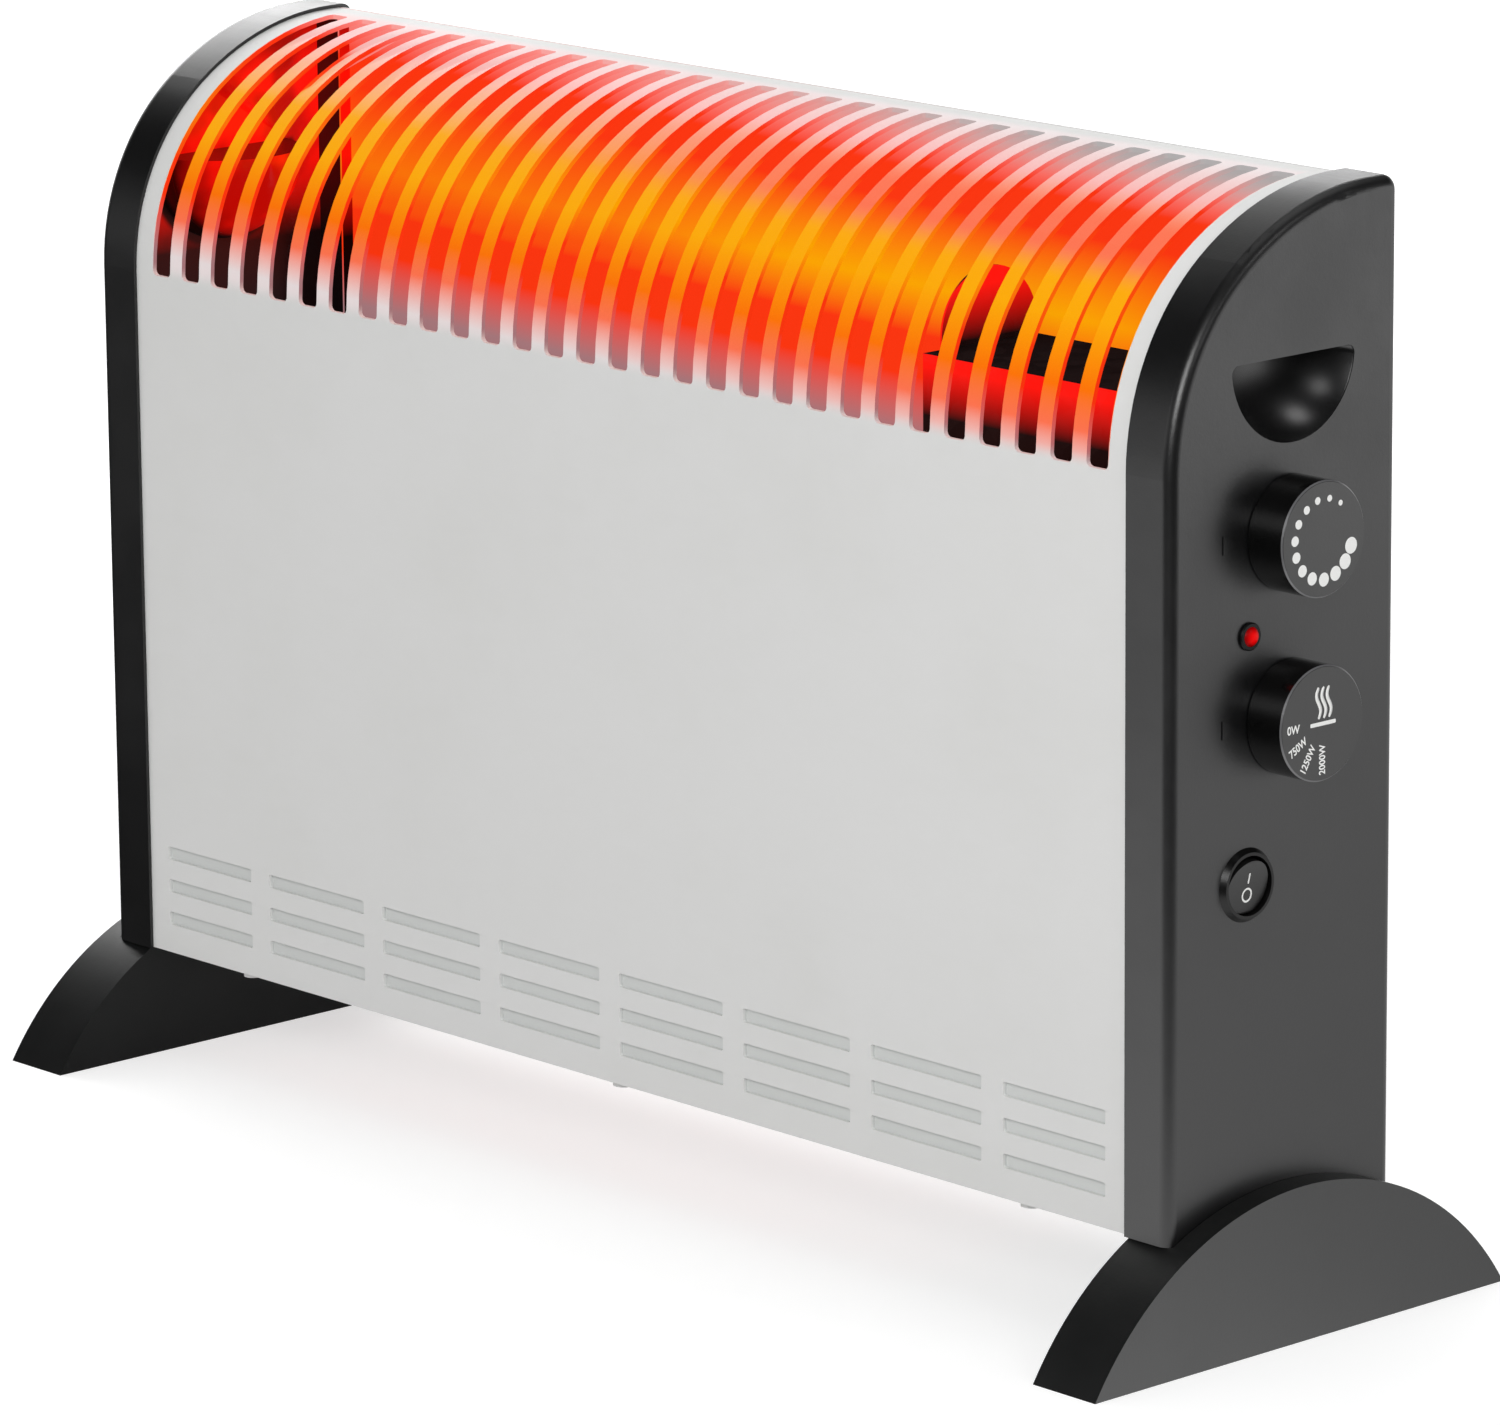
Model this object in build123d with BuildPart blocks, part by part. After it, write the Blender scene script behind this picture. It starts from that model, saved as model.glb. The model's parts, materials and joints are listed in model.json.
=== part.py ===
"""Free-standing electric convector heater, built piece by piece.

Sizes are in millimetres. X runs along the length, from the plain end to the
control end. Y runs from the front to the back and Z runs up. The origin is on
the floor, midway between the two feet and in the middle of their length.
"""

import os
from math import cos, radians, sin, sqrt

from build123d import *

os.makedirs("parts", exist_ok=True)

# Casing sizes
casing_length = 500.0
casing_depth = 100.5
casing_forward = 51.45
casing_bottom = 40.3
casing_top = 374.0
front_curve_radius = 80.0
top_curve_radius = 100.0
curve_split_angle = 53.13
rear_corner = 3.0
sheet = 0.8
flange_width = 12.0
fit_gap = 0.3

# Air outlet slots over the curved top
slot_count = 30
slot_pitch = 16.27
slot_width = 9.7
slot_drop = 0.5
slot_back = 85.0
slot_corner = 2.0
slot_wall = 1.6

# Pressed recesses low on the front
recess_groups = 8
recess_pitch = 62.6
recess_gap = 10.2
recess_height = 4.9
recess_depth = 1.6
recess_corner = 0.8
recess_top_row = 77.4
recess_row_pitch = 12.15
recess_rows = 3
recess_end_margin = 10.0

# End caps
cap_thickness = 19.8
cap_wall = 2.5
cap_proud = 1.4
cap_bottom = 40.0
cap_edge = 4.0
cap_corner = 3.6
rebate_depth = 5.0
rebate_gap = 0.2

# Handle recess in each end cap, a quarter ball under a flat ceiling
grip_radius = 28.0
grip_back = 53.7
grip_drop = 50.8
grip_wall = 2.5
grip_corner = 3.0

# Feet
foot_length = 190.0
foot_height = 52.4
foot_width = 28.2
foot_inset = 1.2
foot_wall = 3.0
foot_side_wall = 2.5
foot_seat_gap = 0.3
foot_rib = 2.0
foot_rib_places = (-60.0, 0.0, 60.0)
foot_screw_spacing = 56.0
foot_boss_radius = 6.2

# Joint between the casing and the rear panel
seam_back = 96.6
tongue_overlap = 4.5
tongue_lap = 1.6
side_flange = 5.5
intake_count = 24
intake_pitch = 19.0
intake_width = 6.0
intake_height = 40.0
intake_low = 80.0
intake_rows = 2
intake_row_pitch = 50.0

# Controls on the right end cap
knob_radius = 19.0
knob_reach = 15.2
knob_back = 52.1
thermostat_drop = 56.9
knob_spacing = 59.9
knob_gap = 0.4
knob_wall = 2.0
knob_face = 2.5
knob_edge = 0.6
knob_hub_radius = 6.0
hub_gap = 0.5
shaft_reach = 11.0
body_corner = 2.0
shaft_radius = 3.0
shaft_flat = 1.8
shaft_fit = 0.05
bush_radius = 4.9
bush_hole_gap = 0.3
bush_reach = 3.5
nut_radius = 7.0
nut_thickness = 2.4
thermostat_size = (20.0, 36.0, 30.0)
power_switch_size = (18.0, 32.0, 32.0)
shaft_depth = 14.0
mark_length = 7.4
mark_height = 6.1
mark_back = 22.0
mark_relief = 0.4

lamp_back = 34.1
lamp_drop = 31.1
lamp_ring_radius = 4.6
lamp_ring_thickness = 1.2
lamp_barrel_radius = 3.7
lamp_barrel_length = 14.0
lamp_hole_gap = 0.15
lamp_lens_radius = 3.2
lamp_lens_dome = 1.6
lamp_bore_radius = 2.9
lamp_floor = 1.5
lamp_seat_depth = 1.0
lamp_ring_chamfer = 0.4
bulb_radius = 2.2
bulb_length = 9.0
bulb_tip_share = 0.8

rocker_back = 33.4
rocker_drop = 52.4
rocker_ring_radius = 12.2
rocker_ring_top_radius = 10.9
rocker_ring_thickness = 1.9
rocker_barrel_radius = 10.7
rocker_bore_radius = 9.85
rocker_barrel_length = 15.0
rocker_floor = 2.0
rocker_tilt = 10.0
rocker_ball_radius = 9.5
rocker_face = 3.0
rocker_back_depth = 5.0
rocker_pivot_depth = 1.5
rocker_pin_radius = 1.2
rocker_pin_reach = 10.4
rocker_dish_radius = 50.0
rocker_dish = 0.7
rocker_tab = 1.2
rocker_tab_length = 6.0

blade_width = 4.8
blade_length = 8.0
blade_thickness = 0.8
blade_pitch = 9.0

# Inner heat shield round the wiring at the control end
shield_left = 129.0
shield_right = 236.0
shield_front = 26.0
shield_back = 77.1
shield_drop = 65.7
shield_foot = 10.0
shield_screw_x = (144.0, 216.0)
arch_radius = 21.8
arch_back = 55.6
arch_rise = 3.7
shield_window_height = 34.0
shield_window_left = 170.0
shield_window_right = 230.0
lead_window_radius = 9.0

# Heating elements
element_left = -219.0
element_right = 108.0
element_back = 50.0
element_upper_height = 188.0
element_lower_height = 116.0
element_upper_fin = 27.0
element_lower_fin = 31.0
element_hub_radius = 7.5
element_fins = 8
element_fin_thickness = 1.6
fin_start_angle = 22.5
rod_radius = 4.0
rod_fit = 0.05
rod_overhang = 19.0
pin_radius = 1.5
pin_length = 8.0
bracket_clearance = 8.0
bracket_sheet = 1.0
bracket_low = 78.0
bracket_high = 226.0
bracket_front = 16.0
bracket_flange = 14.0
bracket_flange_low = 174.0
bracket_screw_heights = (182.0, 216.0)
insulator_neck_radius = 7.0
insulator_flange_radius = 9.5
insulator_flange = 2.5
insulator_gap = 0.1

# Overheat cut-out and small electrical pieces
cutout_radius = 8.0
cutout_thickness = 7.0
cutout_place = 70.0
cutout_height = 232.0
cutout_shelf_depth = 26.0
cutout_shelf_width = 24.0
terminal_size = (42.0, 18.0, 16.0)
terminal_place = 172.0
terminal_screw_radius = 2.4
terminal_screw_depth = 6.0
terminal_screw_pitch = 13.0
tilt_size = (24.0, 20.0, 26.0)
tilt_place = 216.0
inlet_place = 200.0
inlet_height = 62.0
inlet_bore_radius = 3.8
inlet_neck_radius = 6.0
inlet_flange_radius = 8.5
inlet_flange = 2.0
inlet_neck_length = 8.0
inlet_catch_radius = 6.9

# Screws
screw_radius = 1.95
screw_fit = 0.05
screw_head_radius = 3.6
screw_head = 2.2
screw_recess_radius = 1.5
screw_recess = 1.1
foot_screw_length = 16.0
foot_screw_grip = 5.0
panel_screw_length = 10.0
bracket_screw_length = 6.0
grille_screw_length = 7.0
shield_screw_length = 4.0
lug_width = 9.5
lug_height = 12.0
lug_depth = 16.0
lug_heights = (70.0, 160.0, 250.0)
lug_inset = 12.0
cap_boss_radius = 4.5
cap_boss_height = 14.0
cap_boss_end = 1.0

# Bottom grille
grille_slot_count = 26
grille_slot_pitch = 18.0
grille_slot_width = 7.0
grille_slot_length = 30.0
grille_row_offset = 20.0
grille_screws = (-200.0, 0.0, 200.0)

# Inner leads
lead_radius = 1.3
lead_slack = 10.0
lead_bend_share = 0.45
lead_bend_limit = 30.0

# Places that follow from the sizes above
half_length = casing_length / 2
front_y = -casing_forward
rear_y = front_y + casing_depth
cap_face = half_length + cap_thickness
cap_inner_face = cap_face - cap_wall
radius_step = top_curve_radius - front_curve_radius
split_cos = cos(radians(curve_split_angle))
split_sin = sin(radians(curve_split_angle))
curve_depth = front_curve_radius + radius_step * split_cos
straight_top = casing_top - top_curve_radius + radius_step * split_sin
slot_low = straight_top - slot_drop
flange_top = casing_bottom + sheet
grille_top = flange_top + sheet
rear_inner_y = rear_y - sheet
front_inner_y = front_y + sheet
foot_inner_x = half_length + foot_inset
foot_outer_x = foot_inner_x + foot_width
foot_radius = (foot_length**2 / 4 + foot_height**2) / (2 * foot_height)
foot_arc_centre = foot_height - foot_radius
foot_screw_x = (half_length + rebate_depth + cap_inner_face) / 2
knob_y = front_y + knob_back
grip_y = front_y + grip_back
grip_ceiling = casing_top - grip_drop
thermostat_height = grip_ceiling - thermostat_drop
power_height = thermostat_height - knob_spacing
lamp_y = front_y + lamp_back
lamp_height = thermostat_height - lamp_drop
rocker_y = front_y + rocker_back
rocker_height = power_height - rocker_drop
rocker_pivot_x = cap_face - rocker_pivot_depth
lug_screw_x = half_length - lug_inset + lug_width / 2
element_y = front_y + element_back
bracket_left_x = element_left - bracket_clearance
bracket_right_x = element_right + bracket_clearance
shield_front_y = front_y + shield_front
shield_back_y = front_y + shield_back
shield_top = casing_top - shield_drop
arch_centre_height = shield_top + arch_rise
hub_start_x = cap_face + bush_reach + hub_gap
shaft_start_x = cap_inner_face - shaft_depth
shaft_end_x = cap_face + shaft_reach
bracket_screw_x = (
    bracket_left_x + bracket_sheet - bracket_flange / 2,
    bracket_right_x + bracket_flange / 2,
)
cutout_screw_z = cutout_height + bracket_flange / 2
grille_screw_y = (front_y + flange_width / 2, rear_y - flange_width / 2)
shield_screw_y = (shield_front_y - shield_foot / 2, shield_back_y + shield_foot / 2)
terminal_screw_places = [(terminal_place + i * terminal_screw_pitch, 0) for i in (-1, 0, 1)]


def keep(builder, label):
    """Name a finished piece and write it to its own file."""
    builder.part.label = label
    export_step(builder.part, f"parts/{label}.step")


def outline(inset, bottom, corner_radius):
    """Give the edges of the heater's side outline, drawn in by inset."""
    front = front_y + inset
    rear = rear_y - inset
    top = casing_top - inset
    lower_radius = front_curve_radius - inset
    upper_radius = top_curve_radius - inset
    lower_centre = front_y + front_curve_radius
    upper_centre = front_y + curve_depth
    meeting = (lower_centre - lower_radius * split_cos, straight_top + lower_radius * split_sin)
    corner = corner_radius - inset
    with BuildLine() as side:
        Line((front, bottom), (front, straight_top))
        RadiusArc((front, straight_top), meeting, lower_radius)
        RadiusArc(meeting, (upper_centre, top), upper_radius)
        Line((upper_centre, top), (rear - corner, top))
        RadiusArc((rear - corner, top), (rear, top - corner), corner)
        Line((rear, top - corner), (rear, bottom))
        Line((rear, bottom), (front, bottom))
    return side.edges()


def fill_outline(inset, bottom, corner_radius=rear_corner, mode=Mode.ADD):
    """Fill the side outline as a face of the current sketch."""
    make_face(outline(inset, bottom, corner_radius), mode=mode)


def sheet_ring():
    """Draw the casing's sheet metal all round, as the two shells share it."""
    fill_outline(0, casing_bottom)
    fill_outline(sheet, casing_bottom + sheet, mode=Mode.SUBTRACT)


def block(low, high, mode=Mode.ADD):
    """Add a block between two corners to the current part."""
    size = [high[i] - low[i] for i in range(3)]
    centre = [(high[i] + low[i]) / 2 for i in range(3)]
    with Locations(tuple(centre)):
        Box(*size, mode=mode)


def screw(centre, direction, length):
    """Add a pan-head screw whose head rests at centre and shank runs along direction."""
    seat = Plane(origin=centre, z_dir=direction)
    with BuildSketch(seat) as shank:
        Circle(screw_radius)
    extrude(shank.sketch, amount=length)
    with BuildSketch(seat) as head:
        Circle(screw_head_radius)
    extrude(head.sketch, amount=-screw_head)
    with BuildSketch(seat.offset(-screw_head)) as recess:
        RegularPolygon(screw_recess_radius, 6)
    extrude(recess.sketch, amount=screw_recess, mode=Mode.SUBTRACT)


# Front casing with its outlet slots and pressed recesses
slot_centres = [(i - (slot_count - 1) / 2) * slot_pitch for i in range(slot_count)]
slot_back_y = front_y + slot_back
seam_y = front_y + seam_back

with BuildPart() as slot_cutter:
    block(
        (-slot_width / 2, front_y - slot_wall, slot_low),
        (slot_width / 2, slot_back_y, casing_top + slot_wall),
    )
    low_edges = slot_cutter.edges().filter_by(Axis.Y).group_by(Axis.Z)[0]
    back_edges = slot_cutter.edges().filter_by(Axis.Z).group_by(Axis.Y)[-1]
    fillet(low_edges + back_edges, slot_corner)

with BuildPart() as slot_rim:
    rim_width = slot_width + 2 * sheet
    with BuildSketch(Plane.YZ.offset(-rim_width / 2)):
        fill_outline(sheet / 2, slot_low - sheet)
        fill_outline(slot_wall, slot_low - 2 * sheet, mode=Mode.SUBTRACT)
    extrude(amount=rim_width)
    block(
        (-rim_width / 2, front_y, slot_low - sheet),
        (rim_width / 2, slot_back_y + sheet, casing_top),
        mode=Mode.INTERSECT,
    )

recess_span = recess_groups * recess_pitch / 2
recess_edge = half_length - recess_end_margin
recess_places = []
for group in range(recess_groups):
    left = max(-recess_span + group * recess_pitch + recess_gap / 2, -recess_edge)
    right = min(-recess_span + (group + 1) * recess_pitch - recess_gap / 2, recess_edge)
    for row in range(recess_rows):
        recess_places.append((left, right, recess_top_row - row * recess_row_pitch))


def recess_blocks(extra, depth, mode):
    """Add or cut one block for every pressed recess, grown by extra on each side."""
    with BuildSketch(Plane.XZ.offset(-front_y)) as faces:
        for left_x, right_x, height in recess_places:
            with Locations(((left_x + right_x) / 2, height)):
                RectangleRounded(
                    right_x - left_x + 2 * extra,
                    recess_height + 2 * extra,
                    recess_corner + extra,
                )
    extrude(faces.sketch, amount=-depth, mode=mode)


with BuildPart() as front_casing:
    casing_reach = half_length + rebate_depth - fit_gap
    with BuildSketch(Plane.YZ.offset(-casing_reach)):
        sheet_ring()
        with Locations((seam_y, casing_bottom)):
            Rectangle(
                casing_depth,
                casing_top,
                align=(Align.MIN, Align.MIN),
                mode=Mode.SUBTRACT,
            )
        with Locations((front_y + flange_width, casing_bottom)):
            Rectangle(
                casing_depth,
                sheet,
                align=(Align.MIN, Align.MIN),
                mode=Mode.SUBTRACT,
            )
    extrude(amount=2 * casing_reach)
    block(
        (-half_length + sheet + fit_gap, seam_y - tongue_overlap, casing_top - 2 * sheet - rebate_gap),
        (half_length - sheet - fit_gap, seam_y - fit_gap, casing_top - sheet / 2),
    )
    block(
        (-half_length + sheet + fit_gap, seam_y - fit_gap, casing_top - 2 * sheet - rebate_gap),
        (
            half_length - sheet - fit_gap,
            seam_y + tongue_lap,
            casing_top - sheet - rebate_gap,
        ),
    )
    block(
        (-casing_reach, seam_y - fit_gap, casing_top - sheet),
        (casing_reach, seam_y + sheet, casing_top + sheet),
        mode=Mode.SUBTRACT,
    )
    with Locations(*[(x, 0, 0) for x in slot_centres]):
        add(slot_rim.part)
    with Locations(*[(x, 0, 0) for x in slot_centres]):
        add(slot_cutter.part, mode=Mode.SUBTRACT)
    recess_blocks(sheet, recess_depth + sheet, Mode.ADD)
    recess_blocks(0, recess_depth, Mode.SUBTRACT)
    for x in grille_screws:
        with Locations((x, front_y + flange_width / 2, casing_bottom)):
            Cylinder(screw_radius + screw_fit, 4 * sheet, mode=Mode.SUBTRACT)

keep(front_casing, "front_casing")

# Rear panel, a tray that closes the casing from behind
with BuildPart() as rear_panel:
    with BuildSketch(Plane.YZ.offset(-half_length)):
        sheet_ring()
        with Locations((seam_y, casing_bottom + sheet)):
            Rectangle(
                casing_depth,
                casing_top,
                align=(Align.MAX, Align.MIN),
                mode=Mode.SUBTRACT,
            )
        with Locations((rear_y - flange_width, casing_bottom)):
            Rectangle(
                casing_depth,
                sheet,
                align=(Align.MAX, Align.MIN),
                mode=Mode.SUBTRACT,
            )
    extrude(amount=casing_length)
    flange_limit = casing_top - 2 * sheet - rebate_gap - fit_gap
    for x in (-half_length, half_length - sheet):
        block(
            (x, rear_y - side_flange, casing_bottom + sheet / 2),
            (x + sheet, rear_y - sheet / 2, flange_limit),
        )
    with BuildSketch(Plane.XZ.offset(-rear_y)):
        for row in range(intake_rows):
            height = intake_low + row * intake_row_pitch + intake_height / 2
            with Locations((0, height)):
                with GridLocations(intake_pitch, 0, intake_count, 1):
                    SlotOverall(intake_height, intake_width, rotation=90)
        with Locations((inlet_place, inlet_height)):
            Circle(inlet_neck_radius + fit_gap)
        with Locations(*[(side * lug_screw_x, z) for side in (-1, 1) for z in lug_heights]):
            Circle(screw_radius + screw_fit)
        with Locations(*[(x, z) for x in bracket_screw_x for z in bracket_screw_heights]):
            Circle(screw_radius + screw_fit)
        with Locations((cutout_place, cutout_screw_z)):
            Circle(screw_radius + screw_fit)
    extrude(amount=2 * sheet, mode=Mode.SUBTRACT)
    for x in grille_screws:
        with Locations((x, rear_y - flange_width / 2, casing_bottom)):
            Cylinder(screw_radius + screw_fit, 4 * sheet, mode=Mode.SUBTRACT)

keep(rear_panel, "rear_panel")

# Bottom grille resting on the inner flanges of the two shells
with BuildPart() as bottom_grille:
    grille_half = half_length - sheet - fit_gap
    block((-grille_half, front_inner_y, flange_top), (grille_half, rear_inner_y, grille_top))
    with BuildSketch(Plane.XY.offset(flange_top)):
        for y in (-grille_row_offset, grille_row_offset):
            with Locations((0, y)):
                with GridLocations(grille_slot_pitch, 0, grille_slot_count, 1):
                    SlotOverall(grille_slot_length, grille_slot_width, rotation=90)
        with Locations(*[(x, y) for x in grille_screws for y in grille_screw_y]):
            Circle(screw_radius + screw_fit)
        with Locations(*[(x, y) for x in shield_screw_x for y in shield_screw_y]):
            Circle(screw_radius + screw_fit)
    extrude(amount=sheet, mode=Mode.SUBTRACT)

keep(bottom_grille, "bottom_grille")


# End caps
with BuildPart() as grip_bulge:
    with Locations((cap_face, grip_y, grip_ceiling)):
        Sphere(grip_radius + grip_wall)
    reach = grip_radius + grip_wall
    block(
        (cap_face - reach, grip_y - reach, grip_ceiling - reach),
        (cap_inner_face + cap_wall / 2, grip_y + reach, grip_ceiling + grip_wall),
        mode=Mode.INTERSECT,
    )

with BuildPart() as grip_hollow:
    rounding_centre = sqrt((grip_radius - grip_corner) ** 2 - grip_corner**2)
    rounding_share = grip_radius / (grip_radius - grip_corner)
    rounding_end = (rounding_centre * rounding_share, -grip_corner * rounding_share)
    with BuildSketch(Plane((cap_face, grip_y, grip_ceiling), x_dir=(1, 0, 0), z_dir=(0, -1, 0))):
        with BuildLine():
            Line((0, 0), (rounding_centre, 0))
            RadiusArc((rounding_centre, 0), rounding_end, grip_corner)
            RadiusArc(rounding_end, (0, -grip_radius), grip_radius)
            Line((0, -grip_radius), (0, 0))
        make_face()
    revolve(axis=Axis((cap_face, grip_y, grip_ceiling), (0, 0, 1)))

with BuildPart() as cap_blank:
    with BuildSketch(Plane.YZ.offset(half_length)):
        fill_outline(-cap_proud, cap_bottom, cap_corner)
    extrude(amount=cap_thickness)
    outer_edges = cap_blank.faces().sort_by(Axis.X)[-1].edges()
    fillet(outer_edges.sort_by(Axis.Z)[1:], cap_edge)
    with BuildSketch(Plane.YZ.offset(half_length)):
        fill_outline(cap_wall - cap_proud, cap_bottom + cap_wall, cap_corner)
    extrude(amount=cap_thickness - cap_wall, mode=Mode.SUBTRACT)
    with BuildSketch(Plane.YZ.offset(half_length)):
        fill_outline(-rebate_gap, cap_bottom - cap_wall)
    extrude(amount=rebate_depth, mode=Mode.SUBTRACT)
    add(grip_bulge.part)
    add(grip_hollow.part, mode=Mode.SUBTRACT)
    for y in (-foot_screw_spacing / 2, foot_screw_spacing / 2):
        with Locations((foot_screw_x, y, cap_bottom)):
            Cylinder(cap_boss_radius, cap_boss_height, align=(Align.CENTER, Align.CENTER, Align.MIN))
        with Locations((foot_screw_x, y, cap_bottom)):
            Cylinder(
                screw_radius + screw_fit,
                cap_boss_height - cap_boss_end,
                align=(Align.CENTER, Align.CENTER, Align.MIN),
                mode=Mode.SUBTRACT,
            )
    for z in lug_heights:
        arm_back = rear_y - side_flange - fit_gap
        pad_left = half_length - lug_inset
        block(
            (pad_left, rear_inner_y - lug_depth, z - lug_height / 2),
            (cap_inner_face + cap_wall / 2, arm_back, z + lug_height / 2),
        )
        block(
            (pad_left, arm_back - cap_wall, z - lug_height / 2),
            (pad_left + lug_width, rear_inner_y, z + lug_height / 2),
        )
    with BuildSketch(Plane.XZ.offset(-rear_inner_y)):
        with Locations(*[(lug_screw_x, z) for z in lug_heights]):
            Circle(screw_radius + screw_fit)
    extrude(amount=panel_screw_length, mode=Mode.SUBTRACT)

with BuildPart() as right_end_cap:
    add(cap_blank.part)
    with BuildSketch(Plane.YZ.offset(cap_inner_face - cap_wall)):
        with Locations((knob_y, thermostat_height), (knob_y, power_height)):
            Circle(bush_radius + bush_hole_gap)
        with Locations((lamp_y, lamp_height)):
            Circle(lamp_barrel_radius + lamp_hole_gap)
        with Locations((rocker_y, rocker_height)):
            Circle(rocker_barrel_radius + fit_gap)
    extrude(amount=3 * cap_wall, mode=Mode.SUBTRACT)
    with BuildSketch(Plane.YZ.offset(cap_face - cap_wall / 2)):
        for height in (thermostat_height, power_height):
            mark_y = front_y + mark_back
            with BuildLine():
                Polyline(
                    (mark_y, height - mark_height / 2),
                    (mark_y + mark_length, height),
                    (mark_y, height + mark_height / 2),
                    close=True,
                )
            make_face()
    extrude(amount=cap_wall / 2 + mark_relief)

keep(right_end_cap, "right_end_cap")

with BuildPart() as left_end_cap:
    mirror(cap_blank.part, about=Plane.YZ)

keep(left_end_cap, "left_end_cap")


# Feet, moulded shells with ribs and two screw bosses each
def arc_height(y, radius):
    """Give the height of the foot's arc, or of one drawn in from it, above the floor."""
    return foot_arc_centre + sqrt(radius**2 - y**2)


def fill_arc(radius):
    """Fill the round top of a foot, down to the floor."""
    half = sqrt(radius**2 - foot_arc_centre**2)
    with BuildLine() as arch:
        ThreePointArc((-half, 0), (0, foot_arc_centre + radius), (half, 0))
        Line((half, 0), (-half, 0))
    make_face(arch.edges())


with BuildPart() as right_foot:
    hollow_radius = foot_radius - foot_wall
    hollow_left = foot_inner_x + foot_side_wall
    hollow_right = foot_outer_x - foot_side_wall
    rim_left = cap_face + foot_seat_gap
    seat_underside = cap_bottom - foot_wall
    with BuildSketch(Plane.YZ.offset(foot_inner_x)):
        fill_arc(foot_radius)
    extrude(amount=foot_width)
    block(
        (foot_inner_x, -foot_length / 2, cap_bottom),
        (rim_left, foot_length / 2, foot_height),
        mode=Mode.SUBTRACT,
    )
    with BuildSketch(Plane.YZ.offset(hollow_left)):
        fill_arc(hollow_radius)
        with Locations((0, seat_underside)):
            Rectangle(
                foot_length,
                foot_height,
                align=(Align.CENTER, Align.MIN),
                mode=Mode.SUBTRACT,
            )
    extrude(amount=hollow_right - hollow_left, mode=Mode.SUBTRACT)
    with BuildSketch(Plane.YZ.offset(rim_left + foot_side_wall)):
        fill_arc(hollow_radius)
    extrude(amount=hollow_right - rim_left - foot_side_wall, mode=Mode.SUBTRACT)
    for y in foot_rib_places:
        rib_top = min(seat_underside + foot_wall / 2, arc_height(y, hollow_radius))
        block(
            (foot_inner_x + foot_side_wall / 2, y - foot_rib / 2, 0),
            (foot_outer_x - foot_side_wall / 2, y + foot_rib / 2, rib_top),
        )
    for y in (-foot_screw_spacing / 2, foot_screw_spacing / 2):
        with Locations((foot_screw_x, y, 0)):
            Cylinder(
                foot_boss_radius,
                cap_bottom - foot_wall / 2,
                align=(Align.CENTER, Align.CENTER, Align.MIN),
            )
        with Locations(Plane(origin=(foot_screw_x, y, 0), z_dir=(0, 0, -1))):
            CounterBoreHole(
                screw_radius + screw_fit,
                screw_head_radius + fit_gap,
                cap_bottom - foot_screw_grip,
                cap_bottom,
            )

keep(right_foot, "right_foot")

with BuildPart() as left_foot:
    mirror(right_foot.part, about=Plane.YZ)

keep(left_foot, "left_foot")


# Screws, one node for each set
with BuildPart() as foot_screws:
    for side in (-1, 1):
        for y in (-foot_screw_spacing / 2, foot_screw_spacing / 2):
            screw((side * foot_screw_x, y, cap_bottom - foot_screw_grip), (0, 0, 1), foot_screw_length)

keep(foot_screws, "foot_screws")

with BuildPart() as rear_panel_screws:
    for side in (-1, 1):
        for z in lug_heights:
            screw((side * lug_screw_x, rear_y, z), (0, -1, 0), panel_screw_length)

keep(rear_panel_screws, "rear_panel_screws")

with BuildPart() as bracket_screws:
    for x in bracket_screw_x:
        for z in bracket_screw_heights:
            screw((x, rear_y, z), (0, -1, 0), bracket_screw_length)
    screw((cutout_place, rear_y, cutout_screw_z), (0, -1, 0), bracket_screw_length)

keep(bracket_screws, "bracket_screws")

with BuildPart() as bottom_screws:
    for x in grille_screws:
        for y in grille_screw_y:
            screw((x, y, casing_bottom), (0, 0, 1), grille_screw_length)

keep(bottom_screws, "bottom_screws")

with BuildPart() as shield_screws:
    for x in shield_screw_x:
        for y in shield_screw_y:
            screw((x, y, grille_top + sheet), (0, 0, -1), shield_screw_length)

keep(shield_screws, "shield_screws")


# Knobs and the spindles that they turn
def d_section(radius, flat):
    """Draw a round section with one flat side, at flat from its centre."""
    Circle(radius)
    with Locations((0, flat)):
        Rectangle(2 * radius, radius, align=(Align.CENTER, Align.MIN), mode=Mode.SUBTRACT)


def make_knob(height, label):
    """Make one knob, a cup with a hub that fits the spindle."""
    base = cap_face + knob_gap
    cavity_end = cap_face + knob_reach - knob_face
    with BuildPart() as knob:
        with BuildSketch(Plane((base, knob_y, height), x_dir=(0, 1, 0), z_dir=(1, 0, 0))):
            Circle(knob_radius)
        extrude(amount=knob_reach - knob_gap)
        chamfer(knob.faces().sort_by(Axis.X)[-1].edges(), knob_edge)
        with BuildSketch(Plane((base, knob_y, height), x_dir=(0, 1, 0), z_dir=(1, 0, 0))):
            Circle(knob_radius - knob_wall)
        extrude(amount=cavity_end - base, mode=Mode.SUBTRACT)
        with BuildSketch(Plane((hub_start_x, knob_y, height), x_dir=(0, 1, 0), z_dir=(1, 0, 0))):
            Circle(knob_hub_radius)
        extrude(amount=cavity_end - hub_start_x + knob_face / 2)
        with BuildSketch(Plane((hub_start_x, knob_y, height), x_dir=(0, 1, 0), z_dir=(1, 0, 0))):
            d_section(shaft_radius + shaft_fit, shaft_flat + shaft_fit)
        extrude(amount=shaft_end_x + fit_gap - hub_start_x, mode=Mode.SUBTRACT)
    keep(knob, label)


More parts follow.
